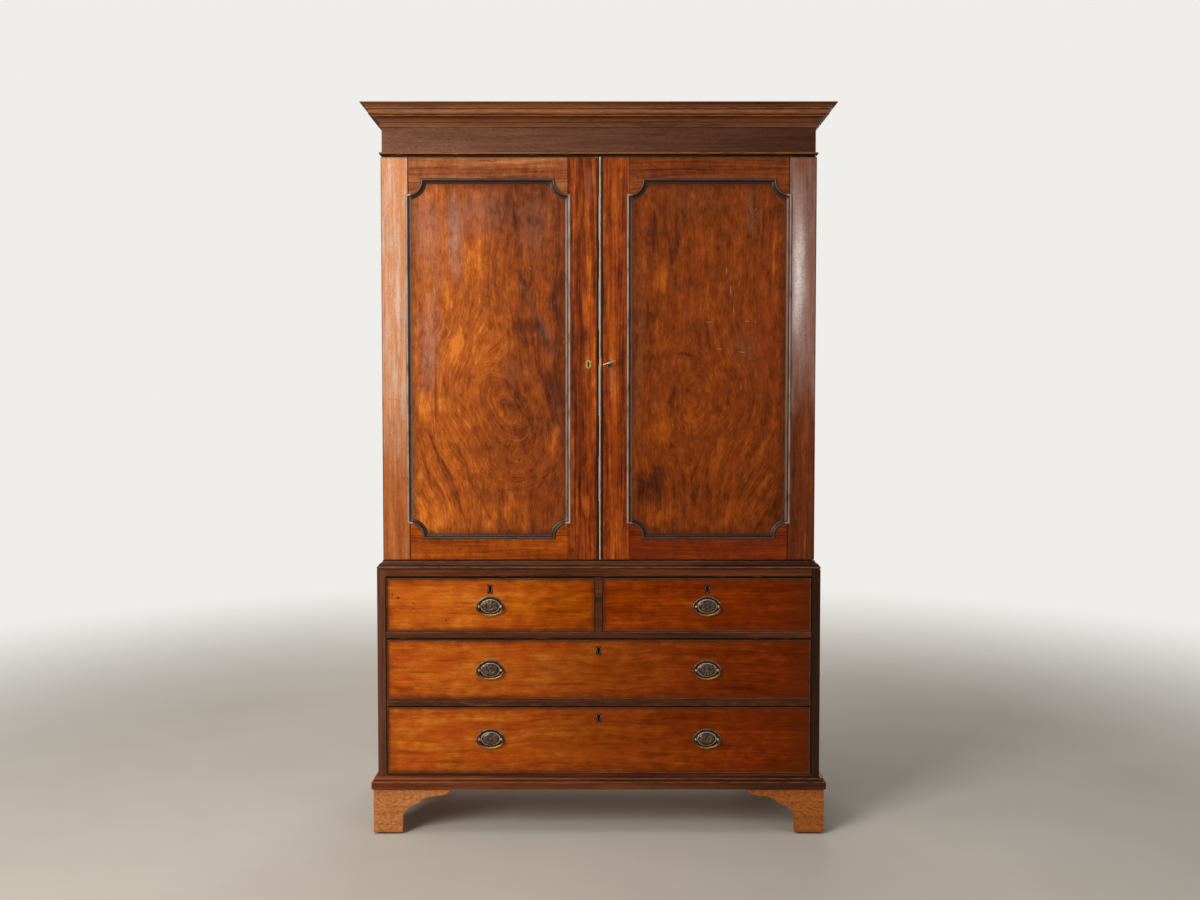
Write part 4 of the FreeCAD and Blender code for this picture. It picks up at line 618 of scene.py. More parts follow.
def moulding_material(name, node, seed, near, far, pale):
    """Panel moulding: a thin black quirk of painted shade, brown rounds whose level runs are
    darkened as painted shade, and a pale crown, partly worn and partly a painted highlight.
    Pale gives how strong a painted sheen is on the uprights at the left and at the right of the
    door."""
    paint, x, y, z = begin(name)
    low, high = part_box(node)
    side = (x - low.x).lowest(x * -1 + high.x)
    upright = side.below(0.0152)
    along = paint.where(upright, z, x)
    across = paint.where(upright, x, z)
    parts = grain(paint, along, across, y, seed)
    patchiness = paint.noise(along * 20, across * 60, seed, 4)
    face = MOULDING_FOOT
    # Near gives way to far across the door, partly as painted shade.
    across_door = x.ramp(low.x + 0.05, high.x - 0.05)
    paint.colour = paint.mix(across_door, paint.wood(parts, near), paint.wood(parts, far))
    # The level runs darkened by half: painted shade.
    paint.over(upright * -0.5 + 0.5, (44, 26, 18))
    # A pale painted sheen on the uprights, as strong as pale gives at either side.
    upright_sheen = upright * x.ramp(low.x + 0.05, high.x - 0.05, pale[0], pale[1])
    paint.over(upright_sheen * patchiness.ramp(0.2, 0.6), (176, 150, 132))
    # A pale crown, partly worn and partly a painted highlight.
    crown = y.ramp(low.y + 0.0012, low.y + 0.0002) * patchiness.ramp(0.25, 0.6)
    paint.over(crown * (upright_sheen * 0.75 + 0.08), (214, 186, 164))
    # Painted shade in the quirk.
    quirk = (y - face - 0.0002).abs().ramp(0.0012, 0.0004)
    paint.over(quirk * 0.9, (24, 13, 9))
    # Painted shade where the moulding meets the panel.
    foot = y.ramp(face + 0.0042, face + 0.005) * patchiness.ramp(0.3, 0.7)
    paint.over(foot * 0.4, (36, 20, 13))
    return paint.finish(patchiness.ramp(0.2, 0.8, 0.3, 0.46), patchiness * 0.7, 0.0004,
                        specular=0.35, coat=0.15, coat_roughness=0.2, tint=MILD)


def astragal_material(name, seed):
    """Dark bead with a pale crown, partly worn and partly a painted highlight, painted shade in
    the gap at its left, and orange where hands reach for the lock.
    """
    paint, x, y, z = begin(name)
    parts = grain(paint, z, x, y, seed)
    patchiness = paint.noise(z * 12, x * 80, seed, 4)
    paint.colour = paint.wood(parts, spread((26, 15, 10), (52, 31, 21), (84, 54, 38)))
    ripple = centred(paint.noise(z * 55, 0, seed, 3), 0.004)
    # Painted shade in the gap between the doors, along the bead's left side.
    paint.over(x.ramp(0.0004, -0.0012, 0, 0.95), BLACK)
    # The pale crown, partly worn and partly a painted highlight.
    crown = (x + ripple * 0.6 - 0.0024).abs().ramp(0.003, 0.0012) * patchiness.ramp(0.15, 0.5)
    paint.over(crown * 0.85, (206, 172, 146))
    marked_zone = paint.blob(z - 1.306, (x - 0.004) * 3, 0.03, 0.02) * patchiness.ramp(0.2, 0.5)
    paint.over(marked_zone * 0.8, (220, 142, 84))
    return paint.finish(0.36, wood_height(parts), 0.0004, specular=0.35, coat=0.15,
                        coat_roughness=0.2, tint=MILD)


def foot_material(name, seed):
    """Paler, barely polished mahogany with a speckled grain, darker at the bottom and the top,
    and darker to the right, partly as painted shade.
    """
    paint, x, y, z = begin(name)
    along = x + y
    across = z + centred(paint.noise(along * 4, 0, seed, 2), 0.03)
    parts = grain(paint, along, across, y, seed)
    mottle = paint.noise(x * 90, y * 90, z * 150 + seed, 5, 0.65)
    tone = parts[0] * 0.6 + parts[1] * 0.4 + parts[2] * 0.5 + centred(mottle, 1.7) + 0.5
    near = paint.shades(tone, spread((140, 76, 32), (184, 110, 54), (210, 134, 74),
                                     (230, 160, 100)))
    far = paint.shades(tone, spread((112, 54, 12), (154, 82, 24), (180, 102, 40),
                                    (202, 126, 62)))
    # Near gives way to far: darker to the right, partly painted shade.
    paint.colour = paint.mix(x.ramp(-0.5, 0.5), near, far)
    paint.over(parts[3] * 0.5, (90, 46, 20))
    # Darker at the bottom and at the top of the feet.
    edge_darkening = z.ramp(0.006, 0.016, 0.5, 0) + z.ramp(0.12, 0.127, 0, 0.4)
    paint.over(edge_darkening * mottle.ramp(0.2, 0.7), (74, 40, 20))
    return paint.finish(0.62, parts[2] * 0.6 - parts[3] + mottle * 0.6, 0.0006,
                        specular=0.25)


def raw_material(name, seed, stops, run="x", boards=None, box=None):
    """Unpolished inside wood, its grain along the named axis. Boards gives how many lie side
    by side across a node, which then differ in grain and tone and have dark joints. Box names
    a node whose sides, or whose back, run the other way than the rest."""
    paint, x, y, z = begin(name)
    along, across, depth = {"x": (x, z, y), "y": (y, z, x), "z": (z, x, y)}[run]
    if box:
        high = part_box(box)[1]
        middle = (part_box(box)[0].x + high.x) / 2
        turned = ((x - middle).abs().above(high.x - middle - BOX_WOOD) if run == "x"
                  else y.above(high.y - BOX_WOOD))
        along, depth = (paint.where(turned, depth, along), paint.where(turned, along, depth))
    extra = 0
    if boards:
        node, count = boards
        low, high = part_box(node)
        start, end = (low.x, high.x) if run == "z" else (low.z, high.z)
        place = (across - start) * (count / (end - start))
        number = place.op("FLOOR")
        along = along + number * 1.73
        extra = centred(paint.noise(number * 3.7, seed, 0.5, 1), 0.6)
        part = place.op("FRACT")
        joint = part.lowest(part * -1 + 1) * ((end - start) / count)
    parts = grain(paint, along, across + depth * 0.3, depth, seed)
    paint.colour = paint.wood(parts, stops, extra=extra, pore=0.35,
                               pore_colour=(90, 56, 30))
    if boards:
        paint.over(joint.ramp(0.001, 0.0035, 0.8, 0), (44, 26, 14))
    return paint.finish(0.68, wood_height(parts), 0.0005, specular=0.2)


# ---------------- metal
def brass_material(name, seed, bright, dull, balance=0.5, metallic=0.85):
    """Aged brass: brown tarnish with paler, handled patches."""
    paint = Paint(name)
    cloud = paint.cloud(160, seed, 4)
    speck = paint.cloud(900, seed, 2)
    amount = (cloud * 0.7 + speck * 0.3).ramp(balance - 0.12, balance + 0.12)
    paint.colour = paint.mix(amount, linear(*bright), linear(*dull))
    return paint.finish(amount.ramp(0, 1, 0.3, 0.48), speck * 0.4 + cloud, 0.0002,
                        metallic=metallic)


def plate_material(name, seed, level, key_rise):
    """Embossed oval plate: a beaded rim line, a raised oval ring, and leaves round a rosette.
    The same pattern sits round both plates of a drawer, at the given level."""
    paint, x, y, z = begin(name)
    u = x.abs() - HANDLE_X
    v = z - level
    cloud = paint.cloud(160, seed, 4)
    oval = ((u / 0.0262) * (u / 0.0262) + (v / 0.0188) * (v / 0.0188)).root()
    arc = (u * u + (v.abs() + 0.0151) * (v.abs() + 0.0151)).root()
    rim = (arc - 0.0417).abs().ramp(0.0014, 0.0004)
    groove = (arc - 0.0385).abs().ramp(0.0016, 0.0004)
    ring = (oval - 0.97).abs().ramp(0.065, 0.02)
    moat = (oval - 0.82).abs().ramp(0.07, 0.02) + (oval - 1.14).abs().ramp(0.07, 0.02)
    angle = v.op("ARCTAN2", u * 0.72)
    radius = (u * u * 0.52 + v * v).root()
    leaves = ((angle * 12).op("SINE").ramp(-0.4, 0.8) * oval.ramp(0.86, 0.76)
              * oval.ramp(0.4, 0.52))
    petals = (angle * 8).op("SINE").ramp(-0.5, 0.9) * oval.ramp(0.4, 0.32)
    boss = radius.ramp(0.003, 0.0014)
    inner = (oval - 0.46).abs().ramp(0.05, 0.015)
    relief = (rim * 0.6 + ring * 1.2 + (leaves + petals + boss + inner) * 0.28 - groove * 0.3
              - moat * 0.22)
    on_plate = y.below(-0.2542) * arc.below(0.0436) * u.abs().below(0.042)
    relief = relief * on_plate
    # Raised parts paler and hollows darker: tarnish in the hollows, and partly a painted
    # highlight on the raised ring and rim.
    amount = (relief * 0.5 + centred(cloud, 1) + 0.36).ramp(0.1, 0.9)
    paint.colour = paint.shades(amount, spread((46, 34, 27), (94, 74, 60), (140, 116, 97),
                                               (208, 184, 156)))
    # Painted highlights on the knobs of the bail posts.
    knobs = y.ramp(-0.2585, -0.2605)
    paint.over(knobs * 0.6, (214, 186, 146))
    inlay = v.above(0.025) * u.abs().lowest(x.abs()).below(0.02)
    paint.over(inlay * y.below(-0.24) * 0.85, (140, 118, 100))
    # Painted shade in the keyhole slot of the escutcheon.
    half = paint.where(v.above(key_rise + 0.0005), 0.0046, 0.0034)
    slot = (u.abs().lowest(x.abs()) - half).ramp(0, -0.0008)
    slot = slot * (v - key_rise).abs().ramp(0.0098, 0.0088)
    paint.over(inlay * slot.highest(y.above(-0.2525)) * y.below(-0.24) * 0.97, BLACK)
    # A painted highlight along the plate's lower rim.
    low_edge = on_plate * v.ramp(-0.012, -0.021) * (arc - 0.0385).above(0)
    paint.over(low_edge * cloud.ramp(0.3, 0.6) * 0.6, (206, 168, 98))
    return paint.finish(amount.ramp(0, 1, 0.46, 0.3), relief + cloud * 0.3, 0.0005,
                        metallic=0.8)


def bail_material(name, node, seed):
    """Brass rod, worn to gold along the bottom of its bow, partly a painted highlight."""
    paint = Paint(name)
    low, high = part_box(node)
    cloud = paint.cloud(160, seed, 4)
    # Gold along the bottom of the bow: worn brass, partly a painted highlight.
    marked_zone = (paint.z.ramp(low.z + 0.014, low.z + 0.001)
              * paint.x.ramp(low.x, high.x - 0.03, 0.55, 1))
    amount = marked_zone * cloud.ramp(0.2, 0.6, 0.5, 1)
    paint.colour = paint.mix(amount, linear(88, 68, 50), linear(226, 186, 108))
    return paint.finish(amount.ramp(0, 1, 0.45, 0.24), cloud, 0.0001, metallic=0.9)


def steel_material(name, seed, bright, dull, metallic, polished=()):
    """Steel or iron, with small painted glints."""
    paint = Paint(name)
    cloud = paint.cloud(220, seed, 4)
    paint.colour = paint.mix(cloud.ramp(0.35, 0.7), linear(*bright), linear(*dull))
    # Small near-white spots of painted glint.
    for sx, sz, size in spots(polished, 1, KEY_BOW):
        paint.over(paint.blob(paint.x - sx, paint.z - sz, size, size, 0, 0.5), (255, 252, 244))
    return paint.finish(cloud.ramp(0.2, 0.8, 0.3, 0.5), cloud, 0.0002, metallic=metallic)


# ---------------- marks on the press
# Rows of column, row, half width and half height in millimetres, tilt to the left of upright,
# weight and, where the mark has one, colour. Rings have no weight, and a lean ends in its slope.
KNOT = (630.5, 182)
# On the left door the pale pinkish ovals on the outer stile, and the greyish one at the top of
# the inner stile, are painted sheen; the small pale spot at the top of the meeting edge is
# painted light at the top bolt.
LEFT_FRAME_MARKS = (
    (400, 182, 10, 50, 0, 0.8, (222, 122, 50)), (506, 165, 10, 80, 88, 0.6, (188, 78, 28)),
    (440, 170, 9, 80, 92, 0.5, (168, 72, 34)), (556, 168, 10, 50, 90, 0.45, (166, 78, 44)),
    (470, 162, 5, 100, 91, 0.5, (104, 46, 26)), (488, 161, 4, 40, 90, 0.6, (74, 34, 24)),
    (390, 232, 14, 80, 0, 0.45, (206, 160, 130)), (398, 300, 12, 140, 0, 0.55, (236, 204, 186)),
    (387, 300, 6, 200, 0, 0.45, (206, 150, 120)), (392, 350, 12, 80, 0, 0.4, (220, 140, 84)),
    (399, 392, 10, 60, 0, 0.35, (198, 118, 72)), (390, 420, 12, 50, 20, 0.4, (168, 84, 38)),
    (596.8, 158, 3.4, 4.2, 0, 1.4, (214, 206, 186)), (588, 350, 12, 30, 0, 0.55, (84, 30, 14)),
    (588, 374, 14, 26, 0, 0.45, (92, 34, 16)), (590, 185, 14, 70, 0, 0.55, (128, 88, 72)),
    (579, 215, 9, 120, -6, 0.55, (204, 98, 24)), (585, 305, 11, 90, 4, 0.6, (204, 98, 18)),
    (584, 335, 14, 40, 0, 0.65, (62, 22, 10)), (577, 350, 8, 60, 0, 0.55, (84, 30, 10)),
    (588, 440, 8, 160, 0, 0.45, (192, 84, 10)), (586, 505, 13, 50, 10, 0.65, (212, 108, 20)),
    (590, 400, 10, 50, 0, 0.5, (74, 24, 8)), (579, 470, 8, 100, 0, 0.4, (72, 24, 8)))
# On the right door the pale grey and pinkish ovals on the outer stile are painted sheen.
RIGHT_FRAME_MARKS = (
    (614, 190, 12, 100, -4, 0.55, (200, 88, 10)), (630, 180, 24, 30, 0, 0.55, (122, 58, 42)),
    (611, 380, 18, 50, 0, 0.55, (138, 74, 58)), (612, 350, 10, 20, 0, 0.45, (130, 66, 44)),
    (612, 330, 12, 120, 0, 0.45, (190, 86, 16)), (617, 452, 16, 100, 0, 0.35, (164, 72, 12)),
    (620, 364, 16, 18, 0, 0.5, (72, 26, 8)), (622, 400, 8, 140, 0, 0.35, (92, 32, 8)),
    (616, 480, 24, 160, 0, 0.45, (112, 40, 4)), (800, 280, 40, 340, 0, 0.66, (204, 174, 164)),
    (798, 275, 23, 230, 0, 1, (240, 224, 220)), (796, 200, 16, 120, 0, 0.4, (196, 168, 158)),
    (802, 164, 45, 45, 0, 0.75, (134, 66, 44)), (811, 290, 10, 320, 0, 0.6, (158, 92, 70)),
    (804, 470, 4, 120, 0, 0.35, (150, 70, 30)), (808, 420, 10, 100, 0, 0.3, (140, 90, 70)))
LEFT_FIGURE = {"rings": ((506, 408, 80, 155, 27), (520, 452, 115, 85, 10)),
               "lean": ((440, 470, 150, 400, 0.55), (500, 300, 90, 200, 0.3))}
LEFT_GLOWS = (
    (457, 349, 26, 70, -8, 0.45), (446, 298, 30, 55, 0, 0.24), (424, 404, 30, 50, 10, 0.32),
    (438, 404, 45, 30, 0, 0.2), (472, 262, 50, 100, 8, 0.24), (482, 340, 80, 200, 0, 0.16),
    (552, 443, 20, 85, -14, 0.3), (436, 514, 60, 90, 12, 0.2), (510, 508, 150, 60, 0, 0.12),
    (428, 236, 14, 70, 0, 0.22), (546, 226, 14, 110, 0, 0.16), (489, 522, 30, 30, 0, 0.14),
    (452, 350, 13, 64, -12, 0.24), (461, 334, 9, 50, 8, 0.26), (474, 408, 30, 120, 12, 0.1),
    (560, 250, 6, 200, 0, 0.14))
LEFT_CLOUDS = (
    (522, 279, 13, 45, 28, 0.36), (543, 338, 22, 70, 22, 0.34), (552, 392, 40, 90, 16, 0.26),
    (427, 372, 18, 85, 0, 0.36), (437, 390, 5, 130, 0, 0.26), (516, 392, 50, 90, 26, 0.16),
    (500, 446, 20, 90, 26, 0.14), (515, 205, 130, 110, 0, 0.18), (516, 226, 7, 110, 6, 0.22),
    (560, 320, 30, 400, 0, 0.14), (530, 325, 90, 35, -10, 0.2), (470, 480, 9, 120, 24, 0.22),
    (446, 470, 6, 160, 22, 0.3), (458, 505, 6, 120, 24, 0.3), (436, 450, 5, 120, 18, 0.26),
    (484, 500, 6, 90, 28, 0.22), (426, 470, 5, 120, 14, 0.24), (420, 330, 14, 160, 0, 0.2),
    (440, 212, 90, 80, 0, 0.16), (436, 362, 7, 120, 0, 0.26), (548, 420, 30, 90, 0, 0.16))
# Pale greyish patches of painted sheen, with a few saturated patches of the wood's own tint
LEFT_SHEENS_AND_TINTS = (
    (456, 236, 34, 170, 0, 0.62, (178, 148, 137)), (478, 212, 120, 100, 0, 0.55, (148, 102, 84)),
    (428, 345, 45, 200, 0, 0.52, (190, 138, 118)), (424, 222, 60, 140, 0, 0.55, (152, 106, 94)),
    (430, 250, 70, 220, 0, 0.3, (170, 120, 102)), (540, 508, 70, 90, 0, 0.55, (118, 43, 0)),
    (535, 225, 80, 130, 0, 0.38, (138, 94, 78)), (545, 335, 30, 90, 20, 0.45, (120, 84, 72)),
    (530, 300, 12, 100, 26, 0.45, (120, 84, 74)), (512, 372, 60, 50, 0, 0.3, (134, 84, 54)),
    (556, 420, 20, 140, 0, 0.18, (124, 88, 72)))
RIGHT_FIGURE = {"rings": ((694, 402, 85, 130, -20), (676, 432, 85, 75, -20)),
                "lean": ((752, 475, 140, 400, -0.62), (745, 300, 70, 200, -0.12))}
RIGHT_GLOWS = (
    (660, 277, 40, 60, 0, 0.26), (768, 300, 28, 100, 0, 0.16), (700, 240, 12, 70, 8, 0.14),
    (662, 428, 45, 65, 0, 0.22), (720, 453, 34, 80, -28, 0.22), (704, 305, 60, 90, 0, 0.18),
    (712, 368, 50, 100, 0, 0.12), (730, 515, 26, 80, -28, 0.22), (662, 520, 50, 30, 0, 0.18),
    (775, 250, 5, 160, 0, 0.26), (742, 260, 50, 140, -8, 0.08), (696, 410, 50, 120, -16, 0.12),
    (762, 450, 12, 120, -28, 0.22))
RIGHT_CLOUDS = (
    (672, 262, 14, 140, -18, 0.18), (650, 312, 50, 30, 0, 0.18), (652, 236, 50, 45, 0, 0.18),
    (776, 215, 30, 80, 0, 0.16), (655, 225, 9, 100, -8, 0.22), (668, 240, 7, 120, 6, 0.2),
    (651, 485, 60, 70, 0, 0.44), (784, 360, 20, 240, 0, 0.16), (687, 356, 44, 7, -10, 0.4),
    (700, 215, 200, 50, 0, 0.1), (700, 495, 100, 70, 0, 0.14), (778, 505, 40, 120, -20, 0.2),
    (694, 470, 6, 80, -28, 0.2), (762, 520, 8, 90, -28, 0.24), (745, 490, 6, 100, -28, 0.22),
    (672, 400, 12, 90, -10, 0.14), (764, 230, 8, 120, 0, 0.18), (771, 355, 12, 50, 0, 0.2))
# Pale greyish patches of painted sheen, with a few saturated patches of the wood's own tint
RIGHT_SHEENS_AND_TINTS = (
    (752, 210, 30, 100, 0, 0.35, (134, 92, 76)), (745, 350, 50, 80, 0, 0.26, (132, 86, 64)),
    (690, 200, 140, 80, 0, 0.22, (112, 68, 48)), (640, 350, 12, 400, 0, 0.3, (120, 82, 66)),
    (768, 330, 45, 340, 0, 0.5, (140, 50, 18)), (690, 330, 60, 160, 0, 0.3, (146, 58, 20)))
# column, row, half length in millimetres and tilt
LEFT_SCRATCHES = (
    (449, 333, 14, -28), (447, 328, 10, 24), (434, 290, 16, 6), (420, 300, 6, 12),
    (530, 268, 6, 40))
RIGHT_SCRATCHES = (
    (731, 290, 22, 2), (727, 270, 12, -4), (734, 310, 12, 3), (748, 321, 10, 80),
    (742, 352, 14, 84), (720, 349, 12, 86), (709, 322, 10, 84), (756, 322, 6, 10),
    (756, 209, 7, -30), (673, 425, 4, 40))
BROWN = (84, 34, 8)
TOP_LEFT_MARKS = (
    (566, 596, 14, 110, -76, 0.5, (116, 50, 6)), (576, 610, 20, 60, -80, 0.3, (130, 58, 8)),
    (520, 608, 22, 60, 84, 0.4, (216, 118, 20)), (440, 600, 24, 80, 82, 0.4, (220, 124, 22)),
    (402, 592, 20, 40, 80, 0.35, (186, 82, 24)), (430, 586, 6, 100, 86, 0.4, (150, 70, 16)),
    (455, 612, 6, 80, 88, 0.35, (158, 72, 10)), (470, 590, 12, 30, 60, 0.3, (168, 74, 20)),
    (545, 618, 6, 90, 94, 0.35, (140, 62, 8)), (489, 618, 12, 30, 90, 0.4, (160, 74, 24)))
TOP_RIGHT_MARKS = (
    (640, 615, 10, 120, 84, 0.25, (96, 36, 4)), (700, 590, 8, 140, 92, 0.2, (88, 28, 2)))
MIDDLE_MARKS = (
    (400, 688, 12, 60, 80, 0.5, BROWN), (402, 668, 7, 60, 86, 0.5, BROWN),
    (420, 672, 5, 80, 88, 0.45, BROWN), (450, 660, 5, 100, 92, 0.3, BROWN),
    (489, 688, 10, 50, 90, 0.3, (150, 70, 20)), (440, 650, 12, 80, 92, 0.3, (214, 118, 30)),
    (388, 695, 8, 12, 40, 0.8, (176, 150, 84)), (540, 668, 8, 100, 84, 0.35, (104, 42, 4)),
    (575, 660, 6, 140, 92, 0.35, (108, 44, 4)), (620, 676, 8, 140, 86, 0.35, (92, 34, 2)),
    (560, 684, 7, 120, 90, 0.3, (104, 42, 4)), (489, 652, 20, 40, 90, 0.2, (150, 70, 20)),
    (600, 676, 200, 70, 0, 0.4, (134, 50, 0)))
BOTTOM_MARKS = (
    (410, 752, 10, 80, 84, 0.55, BROWN), (450, 762, 8, 120, 90, 0.45, BROWN),
    (430, 742, 6, 70, 86, 0.4, BROWN), (470, 750, 6, 90, 94, 0.35, BROWN),
    (440, 722, 14, 80, 92, 0.3, (214, 116, 30)), (540, 746, 6, 50, 90, 0.35, BROWN),
    (398, 716, 12, 30, 90, 0.35, BROWN), (500, 728, 8, 100, 92, 0.2, BROWN),
    (560, 742, 8, 140, 86, 0.3, (100, 40, 4)), (610, 722, 7, 140, 92, 0.3, (100, 38, 4)),
    (660, 754, 8, 140, 88, 0.3, (90, 32, 2)), (760, 735, 8, 120, 90, 0.2, (78, 24, 1)),
    (600, 735, 200, 80, 0, 0.35, (128, 50, 0)))
# column, row and half width in millimetres
TOP_LEFT_DENTS = (
    (392.6, 594.6, 3.2), (398, 597.8, 5.6), (413.5, 603, 3.4), (413.6, 608.7, 3.2),
    (446, 620.5, 3.4), (537, 591, 2.2))
MIDDLE_DENTS = ((458, 645.5, 2.2),)
# painted glints at the ends of the key's bow
KEY_BOW_GLINTS = ((603.6, 364.4, 3.4), (615.8, 360.2, 3.4))
# height, half width, colour and amount of lines: the pale ones are painted highlights on
# rounds and arrises, the black ones and the dark ones of the cornice painted shade in quirks,
# under beads and in the gaps above the drawers
CORNICE_LINES = (
    (1.99, 0.0014, (140, 116, 104), 0.8), (1.9828, 0.006, (190, 122, 82), 0.5),
    (1.9738, 0.002, (190, 134, 96), 0.6), (1.9706, 0.0012, (40, 20, 10), 0.8),
    (1.965, 0.0055, (132, 68, 28), 0.8), (1.9585, 0.0012, (48, 26, 16), 0.7),
    (1.953, 0.0034, (104, 62, 48), 0.5), (1.9572, 0.0009, (150, 122, 108), 0.7),
    (1.9488, 0.0012, (136, 108, 96), 0.7))
BEAD_LINES = ((1.8766, 0.0018, (168, 98, 52), 1.2), (1.8714, 0.0022, BLACK, 2.2))
RAIL_LINES = (
    (0.7158, 0.0029, BLACK, 2.8), (0.5447, 0.0024, BLACK, 2.4), (0.3562, 0.0018, BLACK, 1.5),
    (0.561, 0.0016, (150, 96, 70), 0.5), (0.3645, 0.011, (60, 30, 18), 0.9),
    (0.7, 0.002, (60, 28, 16), 0.5))
WAIST_LINES = (
    (0.7412, 0.0022, (170, 100, 66), 0.6), (0.7364, 0.001, BLACK, 1),
    (0.746, 0.0014, BLACK, 1), (0.7515, 0.0016, (104, 50, 26), 0.6),
    (0.756, 0.0012, (140, 80, 52), 0.6), (0.759, 0.0012, BLACK, 0.8))
BASE_LINES = ((0.1555, 0.002, (140, 84, 58), 0.6), (0.15, 0.0014, BLACK, 0.7),
              (0.1468, 0.0016, (160, 96, 60), 0.5))
# distance from the middle, half width, colour and amount of black lines of painted shade in
# the gaps beside the drawers
RAIL_UPRIGHTS = ((0.5885, 0.0018, BLACK, 0.9), (0.0112, 0.0014, BLACK, 0.7))
SIDE_UPRIGHTS = ((0.5885, 0.002, BLACK, 0.95),)
# node, and what case_material takes
CASE_LOOKS = (
    ("cornice_moulding", "cornice_wood", 3.1,
     spread((56, 27, 12), (96, 54, 28), (128, 74, 40), (158, 94, 50), (190, 124, 72)),
     spread((46, 21, 10), (80, 41, 19), (108, 58, 28), (136, 76, 36), (164, 98, 50)),
     UPPER_FRONT, CORNICE_LINES),
    ("cornice_bead", "bead_wood", 3.6, spread((60, 31, 17), (120, 74, 46), (176, 112, 68)),
     spread((46, 22, 12), (92, 52, 30), (140, 82, 42)), UPPER_FRONT, BEAD_LINES),
    ("cornice_frieze", "frieze_wood", 8.2,
     spread((88, 55, 42), (109, 69, 52), (124, 80, 62), (144, 98, 78)),
     spread((56, 28, 16), (70, 38, 24), (84, 48, 31), (98, 60, 42)), FRIEZE_FRONT),
    ("drawer_rails", "rail_wood", 5.7, DARK, DARK, None, RAIL_LINES, RAIL_UPRIGHTS),
    ("waist_moulding", "waist_wood", 6.4, DARK, DIM, LOWER_FRONT, WAIST_LINES),
    ("base_moulding", "base_wood", 7.9,
     spread((56, 25, 12), (92, 44, 20), (120, 58, 26), (146, 74, 36), (174, 100, 56)),
     DIM, LOWER_FRONT, BASE_LINES),
    ("lower_case_sides", "lower_side_wood", 2.2,
     spread((60, 30, 20), (86, 46, 30), (108, 62, 43), (130, 80, 57)),
     spread((24, 9, 4), (38, 16, 8), (52, 23, 12), (68, 34, 20)),
     None, (), SIDE_UPRIGHTS, True),
    ("upper_case_sides", "upper_side_wood", 4.4, DARK, DIM, None, (), (), True))


# ---------------- dressing the CAD nodes
def dress(material, *names):
    for name in names:
        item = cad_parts[name]
        item.data.materials.clear()
        item.data.materials.append(material)


def dress_case():
    for node, *looks in CASE_LOOKS:
        dress(case_material(*looks), node)
    dress(foot_material("foot_wood", 1), "bracket_feet")


def dress_pair(make, kind, *looks):
    """Dress the same node of the left and the right door, each in its own looks."""
    for side, settings in zip(("left", "right"), looks):
        node = f"{side}_door_{kind}"
        dress(make(f"{side}_{kind}_wood", node, *settings), node)


def dress_doors():
    # The first ramp of each door's frame looks is the outer stile's top, paled by a painted
    # sheen.
    dress_pair(
        door_frame_material, "frame",
        (1.3, True, (0.98, 1.26),
         spread((150, 86, 52), (184, 120, 82), (206, 146, 108), (222, 166, 130), (236, 198, 172)),
         spread((124, 56, 20), (156, 80, 36), (180, 100, 50), (200, 120, 64), (220, 146, 90)),
         spread((50, 14, 2), (90, 31, 4), (126, 48, 8), (164, 72, 14), (212, 108, 30)),
         spread((84, 34, 12), (120, 56, 24), (150, 80, 40), (176, 106, 62), (198, 134, 92)),
         spread((92, 30, 0), (132, 50, 2), (164, 72, 3), (192, 94, 10), (214, 120, 30)),
         LEFT_FRAME_MARKS),
        (2.6, False, (1.14, 1.34),
         spread((92, 54, 42), (116, 76, 62), (138, 98, 84), (158, 120, 106), (182, 146, 134)),
         spread((62, 20, 5), (88, 34, 10), (112, 49, 20), (136, 68, 34), (162, 94, 60)),
         spread((78, 22, 2), (114, 40, 5), (147, 60, 10), (179, 83, 18), (210, 111, 32)),
         spread((78, 28, 8), (108, 44, 12), (132, 60, 21), (154, 76, 33), (176, 100, 54)),
         spread((74, 18, 0), (98, 27, 0), (118, 37, 1), (138, 51, 4), (158, 70, 14)),
         RIGHT_FRAME_MARKS))
    dress_pair(
        panel_material, "panel",
        (4, LEFT_FIGURE, LEFT_GLOWS, LEFT_CLOUDS, LEFT_SHEENS_AND_TINTS, LEFT_SCRATCHES,
         spread((66, 24, 10), (106, 44, 13), (146, 66, 17), (184, 90, 24), (224, 124, 40)),
         (0.8, 0.9), (0.24, -0.1)),
        (9, RIGHT_FIGURE, RIGHT_GLOWS, RIGHT_CLOUDS, RIGHT_SHEENS_AND_TINTS, RIGHT_SCRATCHES,
         spread((54, 17, 2), (90, 33, 2), (128, 53, 5), (160, 74, 12), (192, 100, 26)),
         (0.65, 0.42), (0, -0.02)))
    dress_pair(
        moulding_material, "moulding",
        (1, spread((58, 36, 26), (92, 62, 46), (132, 98, 76)),
         spread((48, 27, 18), (78, 46, 31), (116, 74, 52)), (0.5, 0.6)),
        (2, spread((46, 25, 16), (78, 44, 28), (118, 74, 50)),
         spread((48, 26, 17), (80, 46, 30), (120, 76, 54)), (0.42, 0.3)))
    dress(astragal_material("astragal_wood", 3), "right_door_astragal")


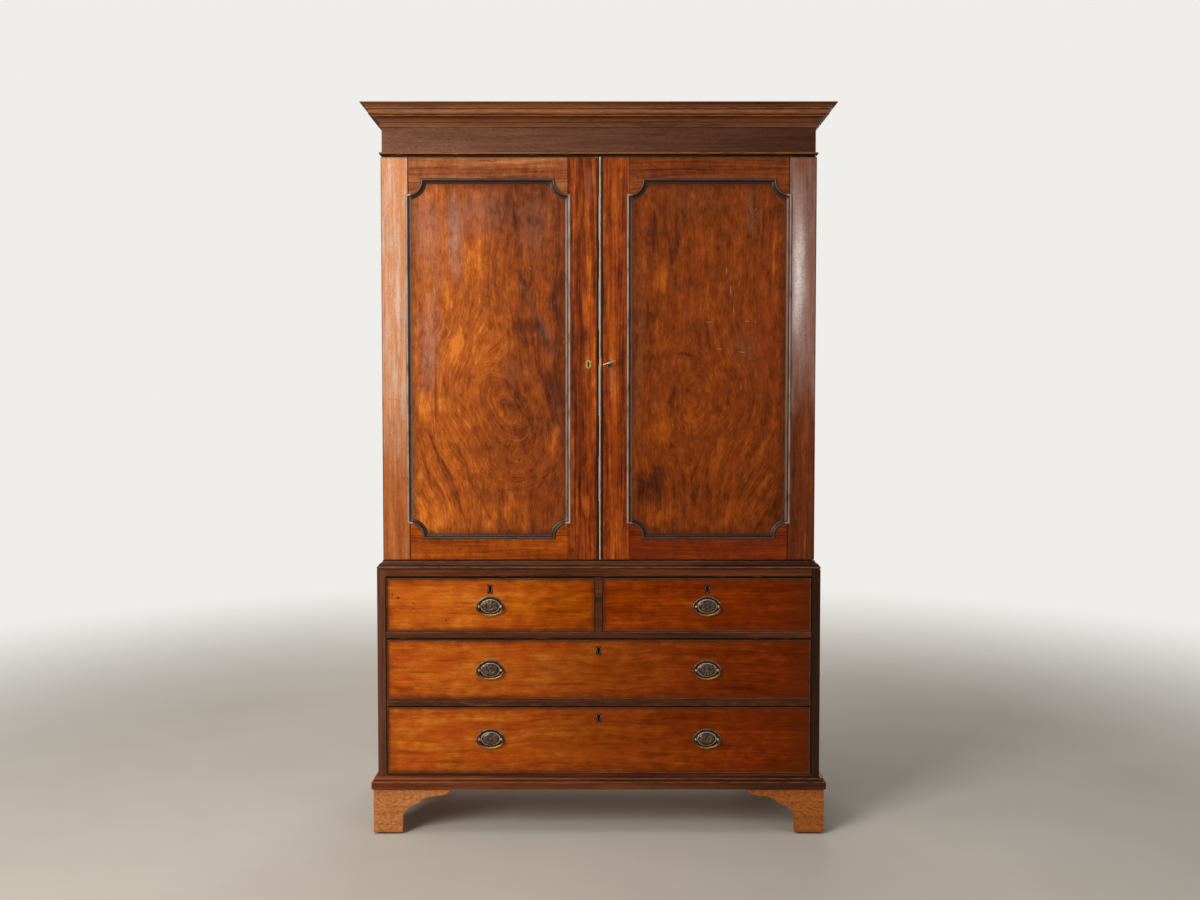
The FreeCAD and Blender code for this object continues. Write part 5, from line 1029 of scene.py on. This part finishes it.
def dress_drawers():
    honey = spread((138, 56, 14), (173, 77, 18), (199, 99, 24), (216, 122, 36), (230, 146, 56))
    amber = spread((106, 38, 0), (132, 51, 0), (157, 67, 1), (181, 87, 5), (202, 111, 20))
    russet = spread((92, 27, 0), (117, 38, 0), (142, 52, 1), (164, 69, 4), (186, 92, 14))
    cherry = spread((68, 15, 0), (92, 25, 0), (113, 36, 0), (134, 51, 2), (158, 72, 8))
    for name, seed, key_x, *looks in (
            ("top_left_drawer", 1.7, -HANDLE_X, honey, amber, (-0.46, -0.08), TOP_LEFT_MARKS,
             TOP_LEFT_DENTS),
            ("top_right_drawer", 5.9, HANDLE_X, russet, cherry, (0.02, 0.5), TOP_RIGHT_MARKS),
            ("middle_drawer", 3.3, 0, honey, cherry, (-0.68, 0.46), MIDDLE_MARKS, MIDDLE_DENTS),
            ("bottom_drawer", 7.1, 0, honey, cherry, (-0.74, 0.46), BOTTOM_MARKS)):
        keyhole = (key_x, HANDLE_LEVELS[name][1])
        dress(drawer_material(f"{name}_wood", f"{name}_front", seed, keyhole, *looks),
              f"{name}_front")


def dress_insides():
    for number, name in enumerate(HANDLE_LEVELS):
        box = f"{name}_box"
        dress(raw_material(f"{name}_oak", number * 2, OAK, "y", box=box), box)
    dress(raw_material("board_oak", 4, OAK), "upper_case_boards", "lower_case_boards")
    dress(raw_material("runner_oak", 6, OAK, "y"), "tray_runners", "drawer_runners")
    for place, seed, run, count in (("upper", 8, "z", 6), ("lower", 9, "x", 4)):
        node = f"{place}_case_back"
        dress(raw_material(f"{place}_back_pine", seed, PINE, run, (node, count)), node)
    for number in range(1, 5):
        tray = f"linen_tray_{number}"
        dress(raw_material(f"tray_wood_{number}", number * 3, TRAY, box=tray), tray)


def dress_metal():
    dress(brass_material("aged_brass", 1, (170, 142, 98), (92, 72, 50)),
          "case_hinges", "left_door_hinge_leaves", "right_door_hinge_leaves",
          "left_door_edge_plates", "right_door_lock", "right_door_lock_bolt",
          "left_door_bottom_bolt", "right_door_escutcheon",
          *(f"{name}_lock_bolt" for name in HANDLE_LEVELS))
    dress(brass_material("clean_brass", 5, (226, 192, 118), (168, 132, 72), 0.6, 0.4),
          "left_door_escutcheon", "left_door_top_bolt")
    for number, (name, (level, keyhole)) in enumerate(HANDLE_LEVELS.items()):
        dress(plate_material(f"{name}_plates", number * 1.5, level, keyhole - level),
              f"{name}_brasses")
    bails = [f"{row}_{side}_bail" for row in ("top", "middle", "bottom")
             for side in ("left", "right")]
    for number, name in enumerate(bails):
        dress(bail_material(f"{name}_brass", name, number * 1.5), name)
    dress(steel_material("key_steel", 1, (214, 204, 188), (160, 146, 128), 0.4, KEY_BOW_GLINTS),
          "right_door_key")
    dress(steel_material("glide_iron", 2, (70, 62, 54), (30, 26, 22), 0.75), "foot_glides")


make_camera()
make_world()
make_lights()
make_stage()
dress_case()
dress_doors()
dress_drawers()
dress_insides()
dress_metal()
